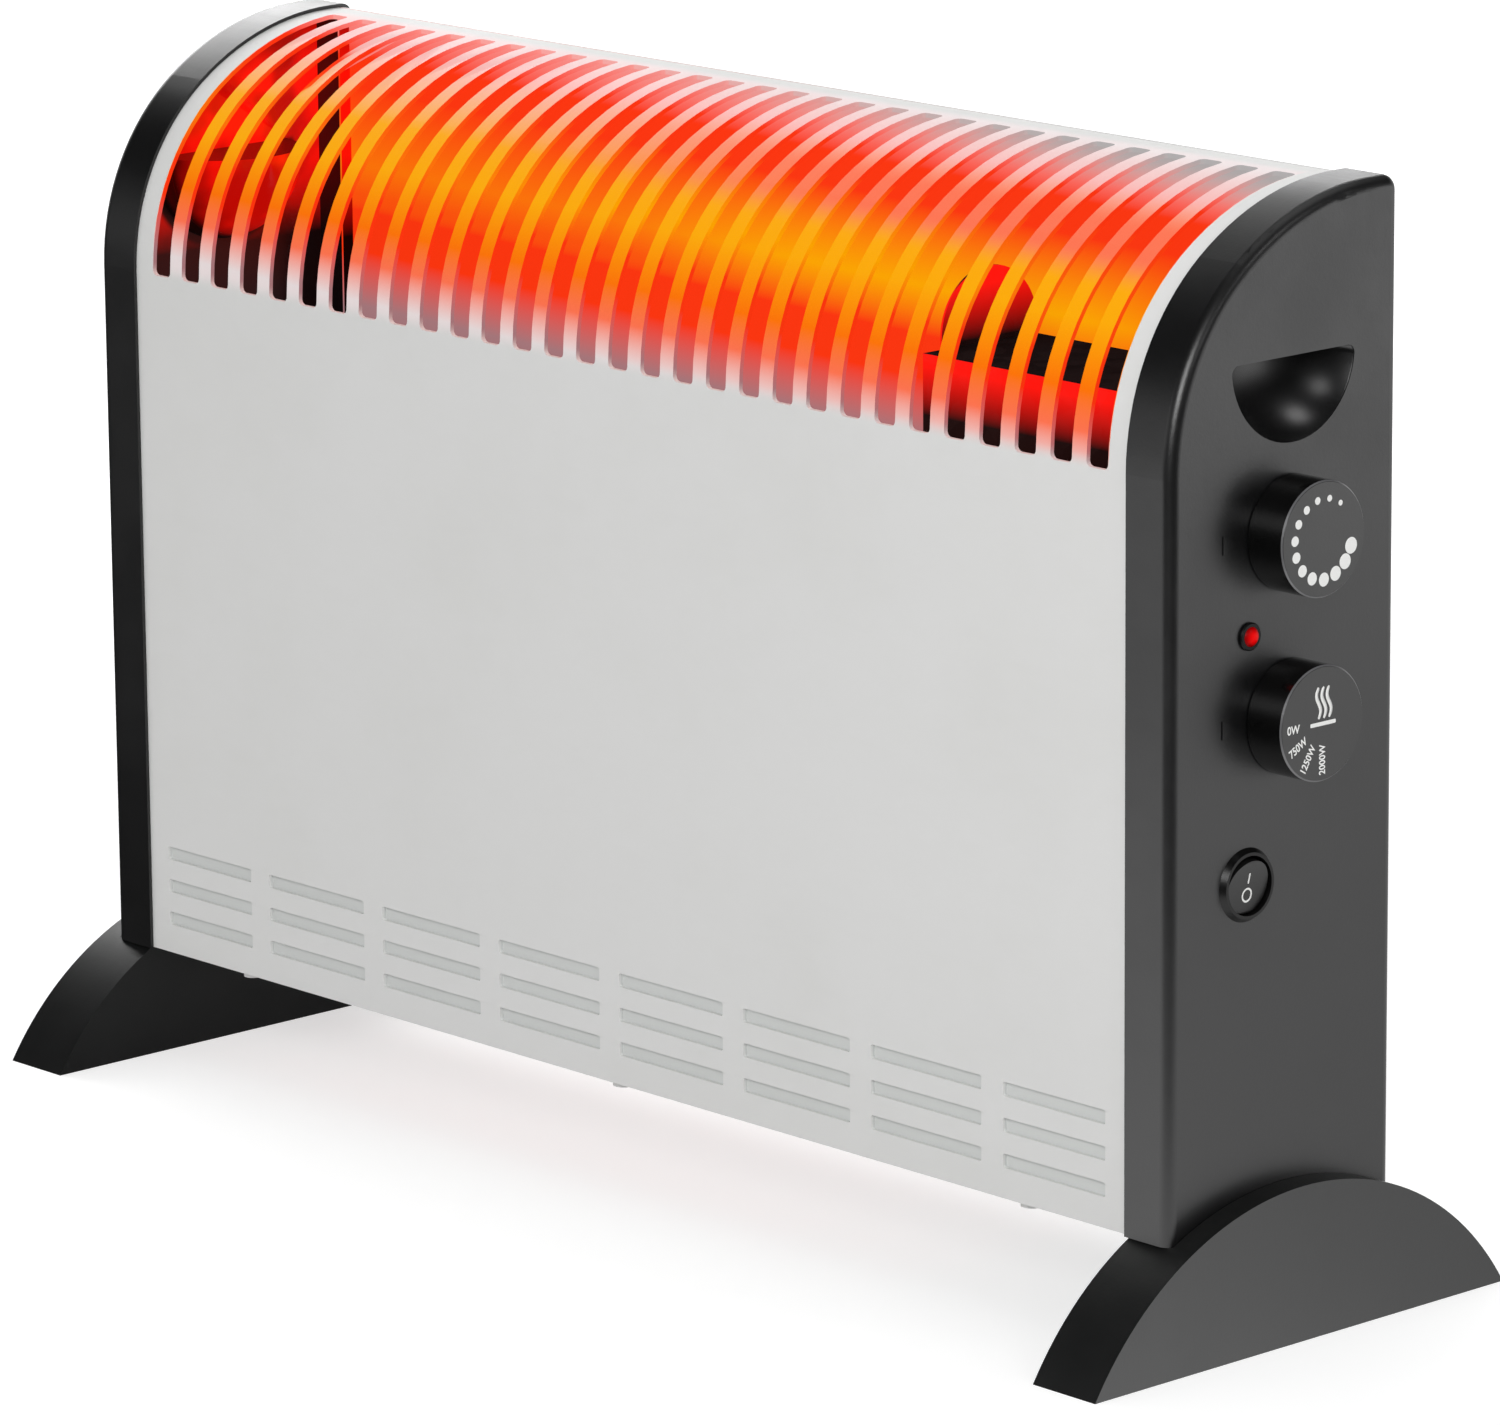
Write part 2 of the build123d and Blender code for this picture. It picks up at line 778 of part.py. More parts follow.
def make_shaft(height, label):
    """Make one spindle, round in its bush and flatted inside the knob."""
    with BuildPart() as shaft:
        with BuildSketch(Plane((shaft_start_x, knob_y, height), x_dir=(0, 1, 0), z_dir=(1, 0, 0))):
            Circle(shaft_radius)
        extrude(amount=hub_start_x - shaft_start_x)
        with BuildSketch(Plane((hub_start_x, knob_y, height), x_dir=(0, 1, 0), z_dir=(1, 0, 0))):
            d_section(shaft_radius, shaft_flat)
        extrude(amount=shaft_end_x - hub_start_x)
    keep(shaft, label)


def make_control_body(height, size, label):
    """Make a control's body, with the threaded bush that passes through the cap."""
    depth, width, rise = size
    with BuildPart() as body:
        block(
            (cap_inner_face - depth, knob_y - width / 2, height - rise / 2),
            (cap_inner_face, knob_y + width / 2, height + rise / 2),
        )
        fillet(body.edges().filter_by(Axis.X), body_corner)
        with BuildSketch(Plane((cap_inner_face, knob_y, height), x_dir=(0, 1, 0), z_dir=(1, 0, 0))):
            Circle(bush_radius)
        extrude(amount=cap_wall + bush_reach)
        bore_start = shaft_start_x - fit_gap
        with BuildSketch(Plane((bore_start, knob_y, height), x_dir=(0, 1, 0), z_dir=(1, 0, 0))):
            Circle(shaft_radius + shaft_fit)
        extrude(amount=cap_face + bush_reach - bore_start, mode=Mode.SUBTRACT)
    keep(body, label)


make_knob(thermostat_height, "thermostat_knob")
make_shaft(thermostat_height, "thermostat_shaft")
make_control_body(thermostat_height, thermostat_size, "thermostat_body")
make_knob(power_height, "power_knob")
make_shaft(power_height, "power_shaft")
make_control_body(power_height, power_switch_size, "power_switch_body")

with BuildPart() as bush_nuts:
    with BuildSketch(Plane.YZ.offset(cap_face)):
        with Locations((knob_y, thermostat_height), (knob_y, power_height)):
            RegularPolygon(nut_radius, 6)
            Circle(bush_radius + screw_fit, mode=Mode.SUBTRACT)
    extrude(amount=nut_thickness)

keep(bush_nuts, "bush_nuts")

# Indicator lamp
lamp_back_x = cap_face - lamp_barrel_length

with BuildPart() as lamp_housing:
    with BuildSketch(Plane.YZ.offset(lamp_back_x)):
        with Locations((lamp_y, lamp_height)):
            Circle(lamp_barrel_radius)
    extrude(amount=lamp_barrel_length)
    with BuildSketch(Plane.YZ.offset(cap_face)):
        with Locations((lamp_y, lamp_height)):
            Circle(lamp_ring_radius)
    extrude(amount=lamp_ring_thickness)
    chamfer(lamp_housing.faces().sort_by(Axis.X)[-1].edges(), lamp_ring_chamfer)
    with BuildSketch(Plane.YZ.offset(lamp_back_x + lamp_floor)):
        with Locations((lamp_y, lamp_height)):
            Circle(lamp_bore_radius)
    extrude(amount=lamp_barrel_length, mode=Mode.SUBTRACT)
    with BuildSketch(Plane.YZ.offset(cap_face - lamp_seat_depth)):
        with Locations((lamp_y, lamp_height)):
            Circle(lamp_lens_radius + screw_fit)
    extrude(amount=2 * lamp_seat_depth + lamp_ring_thickness, mode=Mode.SUBTRACT)

keep(lamp_housing, "lamp_housing")

with BuildPart() as lamp_lens:
    lens_back_x = cap_face - lamp_seat_depth
    lens_rim_x = cap_face + lamp_ring_thickness
    dome_radius = (lamp_lens_radius**2 + lamp_lens_dome**2) / (2 * lamp_lens_dome)
    with BuildSketch(Plane((0, lamp_y, lamp_height), x_dir=(1, 0, 0), z_dir=(0, -1, 0))):
        with BuildLine():
            Line((lens_rim_x + lamp_lens_dome, 0), (lens_back_x, 0))
            Line((lens_back_x, 0), (lens_back_x, lamp_lens_radius))
            Line((lens_back_x, lamp_lens_radius), (lens_rim_x, lamp_lens_radius))
            RadiusArc((lens_rim_x, lamp_lens_radius), (lens_rim_x + lamp_lens_dome, 0), dome_radius)
        make_face()
    revolve(axis=Axis((0, lamp_y, lamp_height), (1, 0, 0)))

keep(lamp_lens, "lamp_lens")

with BuildPart() as neon_bulb:
    with BuildSketch(Plane.YZ.offset(lamp_back_x + lamp_floor)):
        with Locations((lamp_y, lamp_height)):
            Circle(bulb_radius)
    extrude(amount=bulb_length)
    fillet(neon_bulb.faces().sort_by(Axis.X)[-1].edges(), bulb_radius * bulb_tip_share)

keep(neon_bulb, "neon_bulb")

# On and off rocker
rocker_back_x = cap_face - rocker_barrel_length
rocker_pivot = Vector(rocker_pivot_x, rocker_y, rocker_height)
rocker_normal = Vector(cos(radians(rocker_tilt)), 0, -sin(radians(rocker_tilt)))

with BuildPart() as rocker_housing:
    with BuildSketch(Plane.YZ.offset(rocker_back_x)):
        with Locations((rocker_y, rocker_height)):
            Circle(rocker_barrel_radius)
    extrude(amount=rocker_barrel_length)
    with BuildSketch(Plane.YZ.offset(cap_face)):
        with Locations((rocker_y, rocker_height)):
            Circle(rocker_ring_radius)
    with BuildSketch(Plane.YZ.offset(cap_face + rocker_ring_thickness)):
        with Locations((rocker_y, rocker_height)):
            Circle(rocker_ring_top_radius)
    loft()
    for side in (-1, 1):
        tab_y = rocker_y + side * rocker_barrel_radius
        block(
            (cap_inner_face - rocker_tab_length, tab_y - rocker_tab, rocker_height - 2 * rocker_tab),
            (cap_inner_face - rebate_gap, tab_y + rocker_tab, rocker_height + 2 * rocker_tab),
        )
    with BuildSketch(Plane.YZ.offset(rocker_back_x + rocker_floor)):
        with Locations((rocker_y, rocker_height)):
            Circle(rocker_bore_radius)
    extrude(amount=rocker_barrel_length + rocker_ring_thickness, mode=Mode.SUBTRACT)
    with Locations(rocker_pivot):
        Cylinder(
            rocker_pin_radius + screw_fit,
            2 * (rocker_barrel_radius + rocker_tab),
            rotation=(90, 0, 0),
            mode=Mode.SUBTRACT,
        )

keep(rocker_housing, "rocker_housing")

with BuildPart() as rocker_button:
    button_radius = sqrt(rocker_ball_radius**2 - rocker_face**2)
    button_back = rocker_pivot - rocker_normal * rocker_back_depth
    with BuildSketch(Plane(button_back, x_dir=(0, 1, 0), z_dir=rocker_normal)):
        Circle(button_radius)
    extrude(amount=rocker_back_depth + rocker_face)
    with Locations(rocker_pivot):
        Sphere(rocker_ball_radius, mode=Mode.INTERSECT)
    dish_centre = rocker_pivot + rocker_normal * (rocker_face - rocker_dish + rocker_dish_radius)
    with Locations(dish_centre):
        Cylinder(rocker_dish_radius, 4 * button_radius, rotation=(90, 0, 0), mode=Mode.SUBTRACT)
    with Locations(rocker_pivot):
        Cylinder(rocker_pin_radius, 2 * rocker_pin_reach, rotation=(90, 0, 0))

keep(rocker_button, "rocker_button")

# Blade terminals on the three controls
thermostat_blade_x = cap_inner_face - thermostat_size[0]
power_blade_x = cap_inner_face - power_switch_size[0]
thermostat_blades = [knob_y + side * blade_pitch for side in (-1, 1)]
power_blades = [knob_y + (i - 1.5) * blade_pitch for i in range(4)]
rocker_blades = [rocker_height + side * blade_pitch / 2 for side in (-1, 1)]

with BuildPart() as blade_terminals:
    for face_x, height, places in (
        (thermostat_blade_x, thermostat_height, thermostat_blades),
        (power_blade_x, power_height, power_blades),
    ):
        for y in places:
            block(
                (face_x - blade_length, y - blade_thickness / 2, height - blade_width / 2),
                (face_x, y + blade_thickness / 2, height + blade_width / 2),
            )
    for z in rocker_blades:
        block(
            (rocker_back_x - blade_length, rocker_y - blade_width / 2, z - blade_thickness / 2),
            (rocker_back_x, rocker_y + blade_width / 2, z + blade_thickness / 2),
        )

keep(blade_terminals, "blade_terminals")

# Inner heat shield, a folded column open towards the right end cap
with BuildPart() as heat_shield:
    inner_high = shield_top - sheet
    block(
        (shield_left, shield_front_y, grille_top),
        (shield_left + sheet, shield_back_y, shield_top),
    )
    block(
        (shield_left, shield_front_y, grille_top),
        (shield_right, shield_front_y + sheet, shield_top),
    )
    block(
        (shield_left, shield_back_y - sheet, grille_top),
        (shield_right, shield_back_y, shield_top),
    )
    block(
        (shield_left, shield_front_y, inner_high),
        (shield_right, shield_back_y, shield_top),
    )
    block(
        (shield_left, shield_front_y - shield_foot, grille_top),
        (shield_right, shield_front_y, grille_top + sheet),
    )
    block(
        (shield_left, shield_back_y, grille_top),
        (shield_right, shield_back_y + shield_foot, grille_top + sheet),
    )
    with BuildSketch(Plane.XY.offset(grille_top)):
        with Locations(*[(x, y) for x in shield_screw_x for y in shield_screw_y]):
            Circle(screw_radius + screw_fit)
    extrude(amount=sheet, mode=Mode.SUBTRACT)
    with BuildSketch(Plane.YZ.offset(shield_left)):
        arch_y = front_y + arch_back
        with Locations((arch_y, arch_centre_height)):
            Circle(arch_radius)
        with Locations((arch_y, arch_centre_height)):
            Rectangle(
                2 * arch_radius,
                arch_centre_height - shield_top + sheet,
                align=(Align.CENTER, Align.MAX),
            )
    extrude(amount=sheet)
    block(
        (shield_window_left, shield_back_y - 2 * sheet, grille_top + sheet),
        (shield_window_right, shield_back_y + sheet / 2, grille_top + shield_window_height),
        mode=Mode.SUBTRACT,
    )
    with BuildSketch(Plane.YZ.offset(shield_left - sheet)):
        with Locations((element_y, element_upper_height), (element_y, element_lower_height)):
            Circle(lead_window_radius)
    extrude(amount=3 * sheet, mode=Mode.SUBTRACT)

keep(heat_shield, "heat_shield")


# Heating elements, finned extrusions round sheathed rods
def make_element(height, fin_radius, label):
    """Make one finned heating element with a bore for its rod."""
    with BuildPart() as element:
        with BuildSketch(Plane((element_left, element_y, height), x_dir=(0, 1, 0), z_dir=(1, 0, 0))):
            Circle(element_hub_radius)
            with PolarLocations(0, element_fins, start_angle=fin_start_angle):
                Rectangle(fin_radius, element_fin_thickness, align=(Align.MIN, Align.CENTER))
            Circle(rod_radius + rod_fit, mode=Mode.SUBTRACT)
        extrude(amount=element_right - element_left)
    keep(element, label)


def make_rod(height, label):
    """Make one sheathed rod with a terminal pin at each end."""
    with BuildPart() as rod:
        start = element_left - rod_overhang
        length = element_right - element_left + 2 * rod_overhang
        with BuildSketch(Plane((start, element_y, height), x_dir=(0, 1, 0), z_dir=(1, 0, 0))):
            Circle(rod_radius)
        extrude(amount=length)
        pin_start = start - pin_length
        with BuildSketch(Plane((pin_start, element_y, height), x_dir=(0, 1, 0), z_dir=(1, 0, 0))):
            Circle(pin_radius)
        extrude(amount=length + 2 * pin_length)
    keep(rod, label)


make_element(element_upper_height, element_upper_fin, "heating_element_upper")
make_element(element_lower_height, element_lower_fin, "heating_element_lower")
make_rod(element_upper_height, "heating_rod_upper")
make_rod(element_lower_height, "heating_rod_lower")

element_heights = (element_upper_height, element_lower_height)

with BuildPart() as element_insulators:
    for plate_x in (bracket_left_x, bracket_right_x):
        for height in element_heights:
            ring_start = plate_x - insulator_flange
            ring_plane = Plane((ring_start, element_y, height), x_dir=(0, 1, 0), z_dir=(1, 0, 0))
            with BuildSketch(ring_plane):
                Circle(insulator_flange_radius)
                Circle(rod_radius + rod_fit, mode=Mode.SUBTRACT)
            extrude(amount=insulator_flange)
            with BuildSketch(ring_plane.offset(insulator_flange)):
                Circle(insulator_neck_radius)
                Circle(rod_radius + rod_fit, mode=Mode.SUBTRACT)
            extrude(amount=bracket_sheet)
            with BuildSketch(ring_plane.offset(insulator_flange + bracket_sheet)):
                Circle(insulator_flange_radius)
                Circle(rod_radius + rod_fit, mode=Mode.SUBTRACT)
            extrude(amount=insulator_flange)

keep(element_insulators, "element_insulators")


def make_bracket(plate_x, flange_start, label):
    """Make one element bracket, a plate with a flange screwed to the rear panel."""
    with BuildPart() as bracket:
        block(
            (plate_x, front_y + bracket_front, bracket_low),
            (plate_x + bracket_sheet, rear_inner_y, bracket_high),
        )
        block(
            (flange_start, rear_inner_y - bracket_sheet, bracket_flange_low),
            (flange_start + bracket_flange, rear_inner_y, bracket_high),
        )
        with BuildSketch(Plane.YZ.offset(plate_x)):
            for height in element_heights:
                with Locations((element_y, height)):
                    Circle(insulator_neck_radius + insulator_gap)
        extrude(amount=bracket_sheet, mode=Mode.SUBTRACT)
        with BuildSketch(Plane.XZ.offset(-rear_inner_y)):
            for z in bracket_screw_heights:
                with Locations((flange_start + bracket_flange / 2, z)):
                    Circle(screw_radius + screw_fit)
        extrude(amount=bracket_sheet, mode=Mode.SUBTRACT)
    keep(bracket, label)


make_bracket(bracket_left_x, bracket_left_x - bracket_flange + bracket_sheet, "left_element_bracket")
make_bracket(bracket_right_x, bracket_right_x, "right_element_bracket")

# Overheat cut-out on its own small bracket
cutout_y = rear_inner_y - cutout_shelf_depth / 2 - bracket_sheet

with BuildPart() as cutout_bracket:
    shelf_left = cutout_place - cutout_shelf_width / 2
    shelf_right = cutout_place + cutout_shelf_width / 2
    block(
        (shelf_left, rear_inner_y - cutout_shelf_depth, cutout_height - bracket_sheet),
        (shelf_right, rear_inner_y, cutout_height),
    )
    block(
        (shelf_left, rear_inner_y - bracket_sheet, cutout_height - bracket_sheet),
        (shelf_right, rear_inner_y, cutout_height + bracket_flange),
    )
    with BuildSketch(Plane.XZ.offset(-rear_inner_y)):
        with Locations((cutout_place, cutout_screw_z)):
            Circle(screw_radius + screw_fit)
    extrude(amount=bracket_sheet, mode=Mode.SUBTRACT)

keep(cutout_bracket, "cutout_bracket")

with BuildPart() as thermal_cutout:
    with BuildSketch(Plane.XY.offset(cutout_height)):
        with Locations((cutout_place, cutout_y)):
            Circle(cutout_radius)
    extrude(amount=cutout_thickness)
    fillet(thermal_cutout.faces().sort_by(Axis.Z)[-1].edges(), sheet)

keep(thermal_cutout, "thermal_cutout")

# Terminal block and tilt switch on the grille, inside the shield
with BuildPart() as terminal_block:
    length, width, rise = terminal_size
    block(
        (terminal_place - length / 2, -width / 2, grille_top),
        (terminal_place + length / 2, width / 2, grille_top + rise),
    )
    with BuildSketch(Plane.XY.offset(grille_top + rise - terminal_screw_depth)):
        with Locations(*terminal_screw_places):
            Circle(terminal_screw_radius + screw_fit)
    extrude(amount=terminal_screw_depth, mode=Mode.SUBTRACT)

keep(terminal_block, "terminal_block")

with BuildPart() as terminal_screws:
    screw_foot = grille_top + terminal_size[2] - terminal_screw_depth
    with BuildSketch(Plane.XY.offset(screw_foot)):
        with Locations(*terminal_screw_places):
            Circle(terminal_screw_radius)
    extrude(amount=terminal_screw_depth - screw_recess)

keep(terminal_screws, "terminal_screws")

with BuildPart() as tilt_switch:
    length, width, rise = tilt_size
    block(
        (tilt_place - length / 2, -width / 2, grille_top),
        (tilt_place + length / 2, width / 2, grille_top + rise),
    )
    fillet(tilt_switch.edges().filter_by(Axis.Z), body_corner)

keep(tilt_switch, "tilt_switch")

# Bush that lines the mains lead's way into the rear panel
with BuildPart() as cable_inlet_bush:
    inlet_plane = Plane((inlet_place, rear_y, inlet_height), x_dir=(1, 0, 0), z_dir=(0, -1, 0))
    with BuildSketch(inlet_plane.offset(-inlet_flange)):
        Circle(inlet_flange_radius)
    extrude(amount=inlet_flange)
    with BuildSketch(inlet_plane):
        Circle(inlet_neck_radius)
    extrude(amount=inlet_neck_length)
    with BuildSketch(inlet_plane.offset(sheet + screw_fit)):
        Circle(inlet_catch_radius)
    extrude(amount=inlet_flange)
    with BuildSketch(inlet_plane.offset(-inlet_flange)):
        Circle(inlet_bore_radius)
    extrude(amount=inlet_neck_length + inlet_flange, mode=Mode.SUBTRACT)

keep(cable_inlet_bush, "cable_inlet_bush")


# Leads between the controls, the terminal block and the elements
def corner_radii(points):
    """Give each inner corner of a lead's route the largest even bend that fits."""
    radii = []
    for before, here, after in zip(points, points[1:], points[2:]):
        first = Vector(*here) - Vector(*before)
        second = Vector(*after) - Vector(*here)
        half_turn = radians(first.get_angle(second) / 2)
        shorter = min(first.length, second.length)
        radii.append(min(lead_bend_share * shorter * cos(half_turn) / sin(half_turn), lead_bend_limit))
    return radii


def lead(points):
    """Sweep one lead along its route, into the current part."""
    with BuildLine() as route:
        FilletPolyline(*points, radius=corner_radii(points))
    with BuildSketch(Plane(origin=route.line @ 0, z_dir=route.line % 0)) as section:
        Circle(lead_radius)
    sweep(section.sketch, path=route.line)


power_lead_x = power_blade_x - blade_length
rocker_lead_x = rocker_back_x - blade_length
thermostat_lead_x = thermostat_blade_x - blade_length
pin_right_x = element_right + rod_overhang + pin_length
pin_left_x = element_left - rod_overhang - pin_length
block_top = grille_top + terminal_size[2]
lead_turn_x = shield_right - 4 * lead_slack

with BuildPart() as inner_leads:
    lead(
        [
            (rocker_lead_x, rocker_y, rocker_blades[0]),
            (lead_turn_x + lead_slack, rocker_y, rocker_blades[0]),
            (lead_turn_x - lead_slack, 0, (rocker_blades[0] + block_top) / 2),
            (terminal_place + terminal_screw_pitch / 2, 0, block_top + 2 * lead_slack),
            (terminal_place + terminal_screw_pitch / 2, 0, block_top),
        ]
    )
    lead(
        [
            (thermostat_lead_x, thermostat_blades[1], thermostat_height),
            (lead_turn_x + 3 * lead_slack, thermostat_blades[1], thermostat_height),
            (lead_turn_x + 3 * lead_slack, 2 * lead_slack, thermostat_height - 3 * lead_slack),
            (terminal_place - terminal_screw_pitch / 2, 2 * lead_slack, block_top + 4 * lead_slack),
            (terminal_place - terminal_screw_pitch / 2, 0, block_top + 2 * lead_slack),
            (terminal_place - terminal_screw_pitch / 2, 0, block_top),
        ]
    )
    lead(
        [
            (power_lead_x, power_blades[0], power_height),
            (lead_turn_x, power_blades[0], power_height),
            (lead_turn_x - 3 * lead_slack, element_y, element_upper_height),
            (pin_right_x, element_y, element_upper_height),
        ]
    )
    lead(
        [
            (power_lead_x, power_blades[3], power_height),
            (lead_turn_x, power_blades[3], power_height),
            (lead_turn_x - 3 * lead_slack, element_y, element_lower_height + lead_slack),
            (pin_right_x + lead_slack, element_y, element_lower_height),
            (pin_right_x, element_y, element_lower_height),
        ]
    )
    lead(
        [
            (pin_left_x, element_y, element_upper_height),
            (pin_left_x - lead_slack, element_y, element_upper_height),
            (pin_left_x - lead_slack, element_y, element_lower_height),
            (pin_left_x, element_y, element_lower_height),
        ]
    )

keep(inner_leads, "inner_leads")
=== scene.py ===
import json
import logging
import math
from dataclasses import dataclass, field
from enum import Enum
from typing import Any, Iterable

import bmesh
import bpy
from mathutils import Euler, Matrix, Vector


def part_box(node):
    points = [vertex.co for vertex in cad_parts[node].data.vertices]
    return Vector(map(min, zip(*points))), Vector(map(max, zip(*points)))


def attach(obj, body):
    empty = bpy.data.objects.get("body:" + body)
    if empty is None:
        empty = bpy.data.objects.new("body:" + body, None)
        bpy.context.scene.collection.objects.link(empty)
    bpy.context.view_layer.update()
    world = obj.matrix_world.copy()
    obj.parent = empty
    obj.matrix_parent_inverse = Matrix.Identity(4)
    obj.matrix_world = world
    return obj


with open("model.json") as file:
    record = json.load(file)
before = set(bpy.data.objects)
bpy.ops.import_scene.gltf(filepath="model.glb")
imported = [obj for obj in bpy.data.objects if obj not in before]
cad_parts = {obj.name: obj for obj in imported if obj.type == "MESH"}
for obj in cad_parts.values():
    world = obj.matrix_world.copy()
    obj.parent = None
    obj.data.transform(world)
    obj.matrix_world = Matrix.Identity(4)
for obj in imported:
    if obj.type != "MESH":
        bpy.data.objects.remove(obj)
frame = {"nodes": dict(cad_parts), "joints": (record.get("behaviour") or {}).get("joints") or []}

LOG = logging.getLogger("heater")
MM = 0.001
Socket = bpy.types.NodeSocket
Link = Socket | float
Range = tuple[float, float]
Colour = tuple[float, float, float, float]


def linear(hex_colour: str) -> Colour:
    """Turn a written colour into the linear values that Blender's sockets hold.

    Args:
        hex_colour: Red, green and blue as six hexadecimal digits after a hash.

    Returns:
        Linear red, green and blue with an alpha of one.
    """
    parts = [int(hex_colour[i : i + 2], 16) / 255 for i in (1, 3, 5)]
    values = [p / 12.92 if p <= 0.04045 else ((p + 0.055) / 1.055) ** 2.4 for p in parts]
    return (values[0], values[1], values[2], 1.0)


class Body(Enum):
    """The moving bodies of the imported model."""

    HEATER = "heater"
    THERMOSTAT = "thermostat_dial"
    POWER = "power_dial"
    ROCKER = "rocker"


class Axis(Enum):
    """The axes of Object coordinates, by the name of their socket."""

    X = "X"
    Y = "Y"
    Z = "Z"


class GlowColour(Enum):
    """The few colours that the painted glow light on the casing, the caps and the shield runs through."""

    PAINT = "#E8DCDC"
    ROSE = "#FAB8B4"
    CORAL = "#FF7450"
    ORANGE = "#FF7400"
    AMBER = "#FFAC00"
    RED = "#FF3810"
    EMBER = "#FF1004"
    ASH = "#A87C80"
    DARK = "#080000"


Stops = tuple[tuple[float, GlowColour], ...]


class Wiring:
    """Adds and links the nodes of one shader or geometry tree."""

    def __init__(self, tree: bpy.types.NodeTree) -> None:
        """Keep the tree that the nodes go into."""
        self.tree = tree

    def add(self, kind: str, inputs: dict[Any, Any] | None = None, **settings: Any) -> bpy.types.Node:
        """Add one node, set it up and link or fill its inputs.

        Args:
            kind: The node's type name.
            inputs: Values or sockets by input name or number.
            settings: The node's own settings.

        Returns:
            The new node.
        """
        node = self.tree.nodes.new(kind)
        for name, value in settings.items():
            setattr(node, name, value)
        for name, value in (inputs or {}).items():
            if isinstance(value, Socket):
                self.tree.links.new(value, node.inputs[name])
            else:
                node.inputs[name].default_value = value
        return node

    def calc(self, operation: str, a: Link, b: Link = 0.0, c: Link = 0.0, clamp: bool = False) -> Socket:
        """Add a Math node.

        Args:
            operation: The Math operation.
            a: First value or socket.
            b: Second value or socket.
            c: Third value or socket.
            clamp: Keep the result between zero and one.

        Returns:
            The node's output socket.
        """
        return self.add(
            "ShaderNodeMath", {0: a, 1: b, 2: c}, operation=operation, use_clamp=clamp
        ).outputs[0]

    def times(self, a: Link, b: Link) -> Socket:
        """Multiply two values."""
        return self.calc("MULTIPLY", a, b)

    def plus(self, a: Link, b: Link) -> Socket:
        """Add two values."""
        return self.calc("ADD", a, b)

    def minus(self, a: Link, b: Link) -> Socket:
        """Take the second value from the first."""
        return self.calc("SUBTRACT", a, b)

    def most(self, a: Link, b: Link) -> Socket:
        """Keep the larger of two values."""
        return self.calc("MAXIMUM", a, b)

    def fade(self, value: Link, low: float, high: float, start: float = 0.0, end: float = 1.0) -> Socket:
        """Run smoothly from start at low to end at high, flat on both sides.

        Args:
            value: The socket that drives the fade.
            low: The value where it starts.
            high: The value where it ends.
            start: The result up to low.
            end: The result from high on.

        Returns:
            The faded socket.
        """
        inputs = {"Value": value, "From Min": low, "From Max": high, "To Min": start, "To Max": end}
        return self.add("ShaderNodeMapRange", inputs, interpolation_type="SMOOTHSTEP").outputs["Result"]

    def blend(self, factor: Link, a: Any, b: Any, mode: str = "MIX") -> Socket:
        """Mix two colours.

        Args:
            factor: How much of the second colour shows.
            a: First colour or socket.
            b: Second colour or socket.
            mode: The blend type.

        Returns:
            The mixed colour socket.
        """
        node = self.add("ShaderNodeMix", {0: factor, 6: a, 7: b}, data_type="RGBA", blend_type=mode)
        return node.outputs[2]

    def ramp(self, value: Socket, stops: Stops) -> Socket:
        """Turn a value into a colour along a row of stops.

        Args:
            value: The socket that runs along the stops.
            stops: Places from low to high, each with its heat colour.

        Returns:
            The colour socket.
        """
        low, high = stops[0][0], stops[-1][0]
        spread = self.add("ShaderNodeMapRange", {"Value": value, "From Min": low, "From Max": high})
        node = self.add("ShaderNodeValToRGB", {"Fac": spread.outputs["Result"]})
        elements = node.color_ramp.elements
        while len(elements) < len(stops):
            elements.new(0.5)
        for element, (place, colour) in zip(elements, stops):
            element.position = (place - low) / (high - low)
        for element, (place, colour) in zip(elements, stops):
            element.color = linear(colour.value)
        return node.outputs["Color"]

    def coordinates(self, kind: str = "Object") -> Socket:
        """Give the texture coordinates of one kind."""
        return self.add("ShaderNodeTexCoord").outputs[kind]

    def split(self, kind: str) -> dict[Axis, Socket]:
        """Split texture coordinates into their three axes.

        Args:
            kind: Which coordinates, by the name of their socket.

        Returns:
            One socket for each axis.
        """
        node = self.add("ShaderNodeSeparateXYZ", {0: self.coordinates(kind)})
        return {axis: node.outputs[axis.value] for axis in Axis}

    def place(self) -> dict[Axis, Socket]:
        """Split Object coordinates, in metres, into their three axes."""
        return self.split("Object")

    def facing(self) -> dict[Axis, Socket]:
        """Split the piece's own normal into its three axes."""
        return self.split("Normal")

    def millimetres(self, metres: Socket) -> Socket:
        """Turn a length in metres into millimetres."""
        return self.times(metres, 1.0 / MM)

    def from_axis(self, place: dict[Axis, Socket], y: float, z: float) -> Socket:
        """Measure the distance from a line along X.

        Args:
            place: Object coordinates by axis.
            y: Where the line lies in Y, in metres.
            z: Where the line lies in Z, in metres.

        Returns:
            The distance in metres.
        """
        across = self.calc("POWER", self.minus(place[Axis.Y], y), 2.0)
        up = self.calc("POWER", self.minus(place[Axis.Z], z), 2.0)
        return self.calc("SQRT", self.plus(across, up))

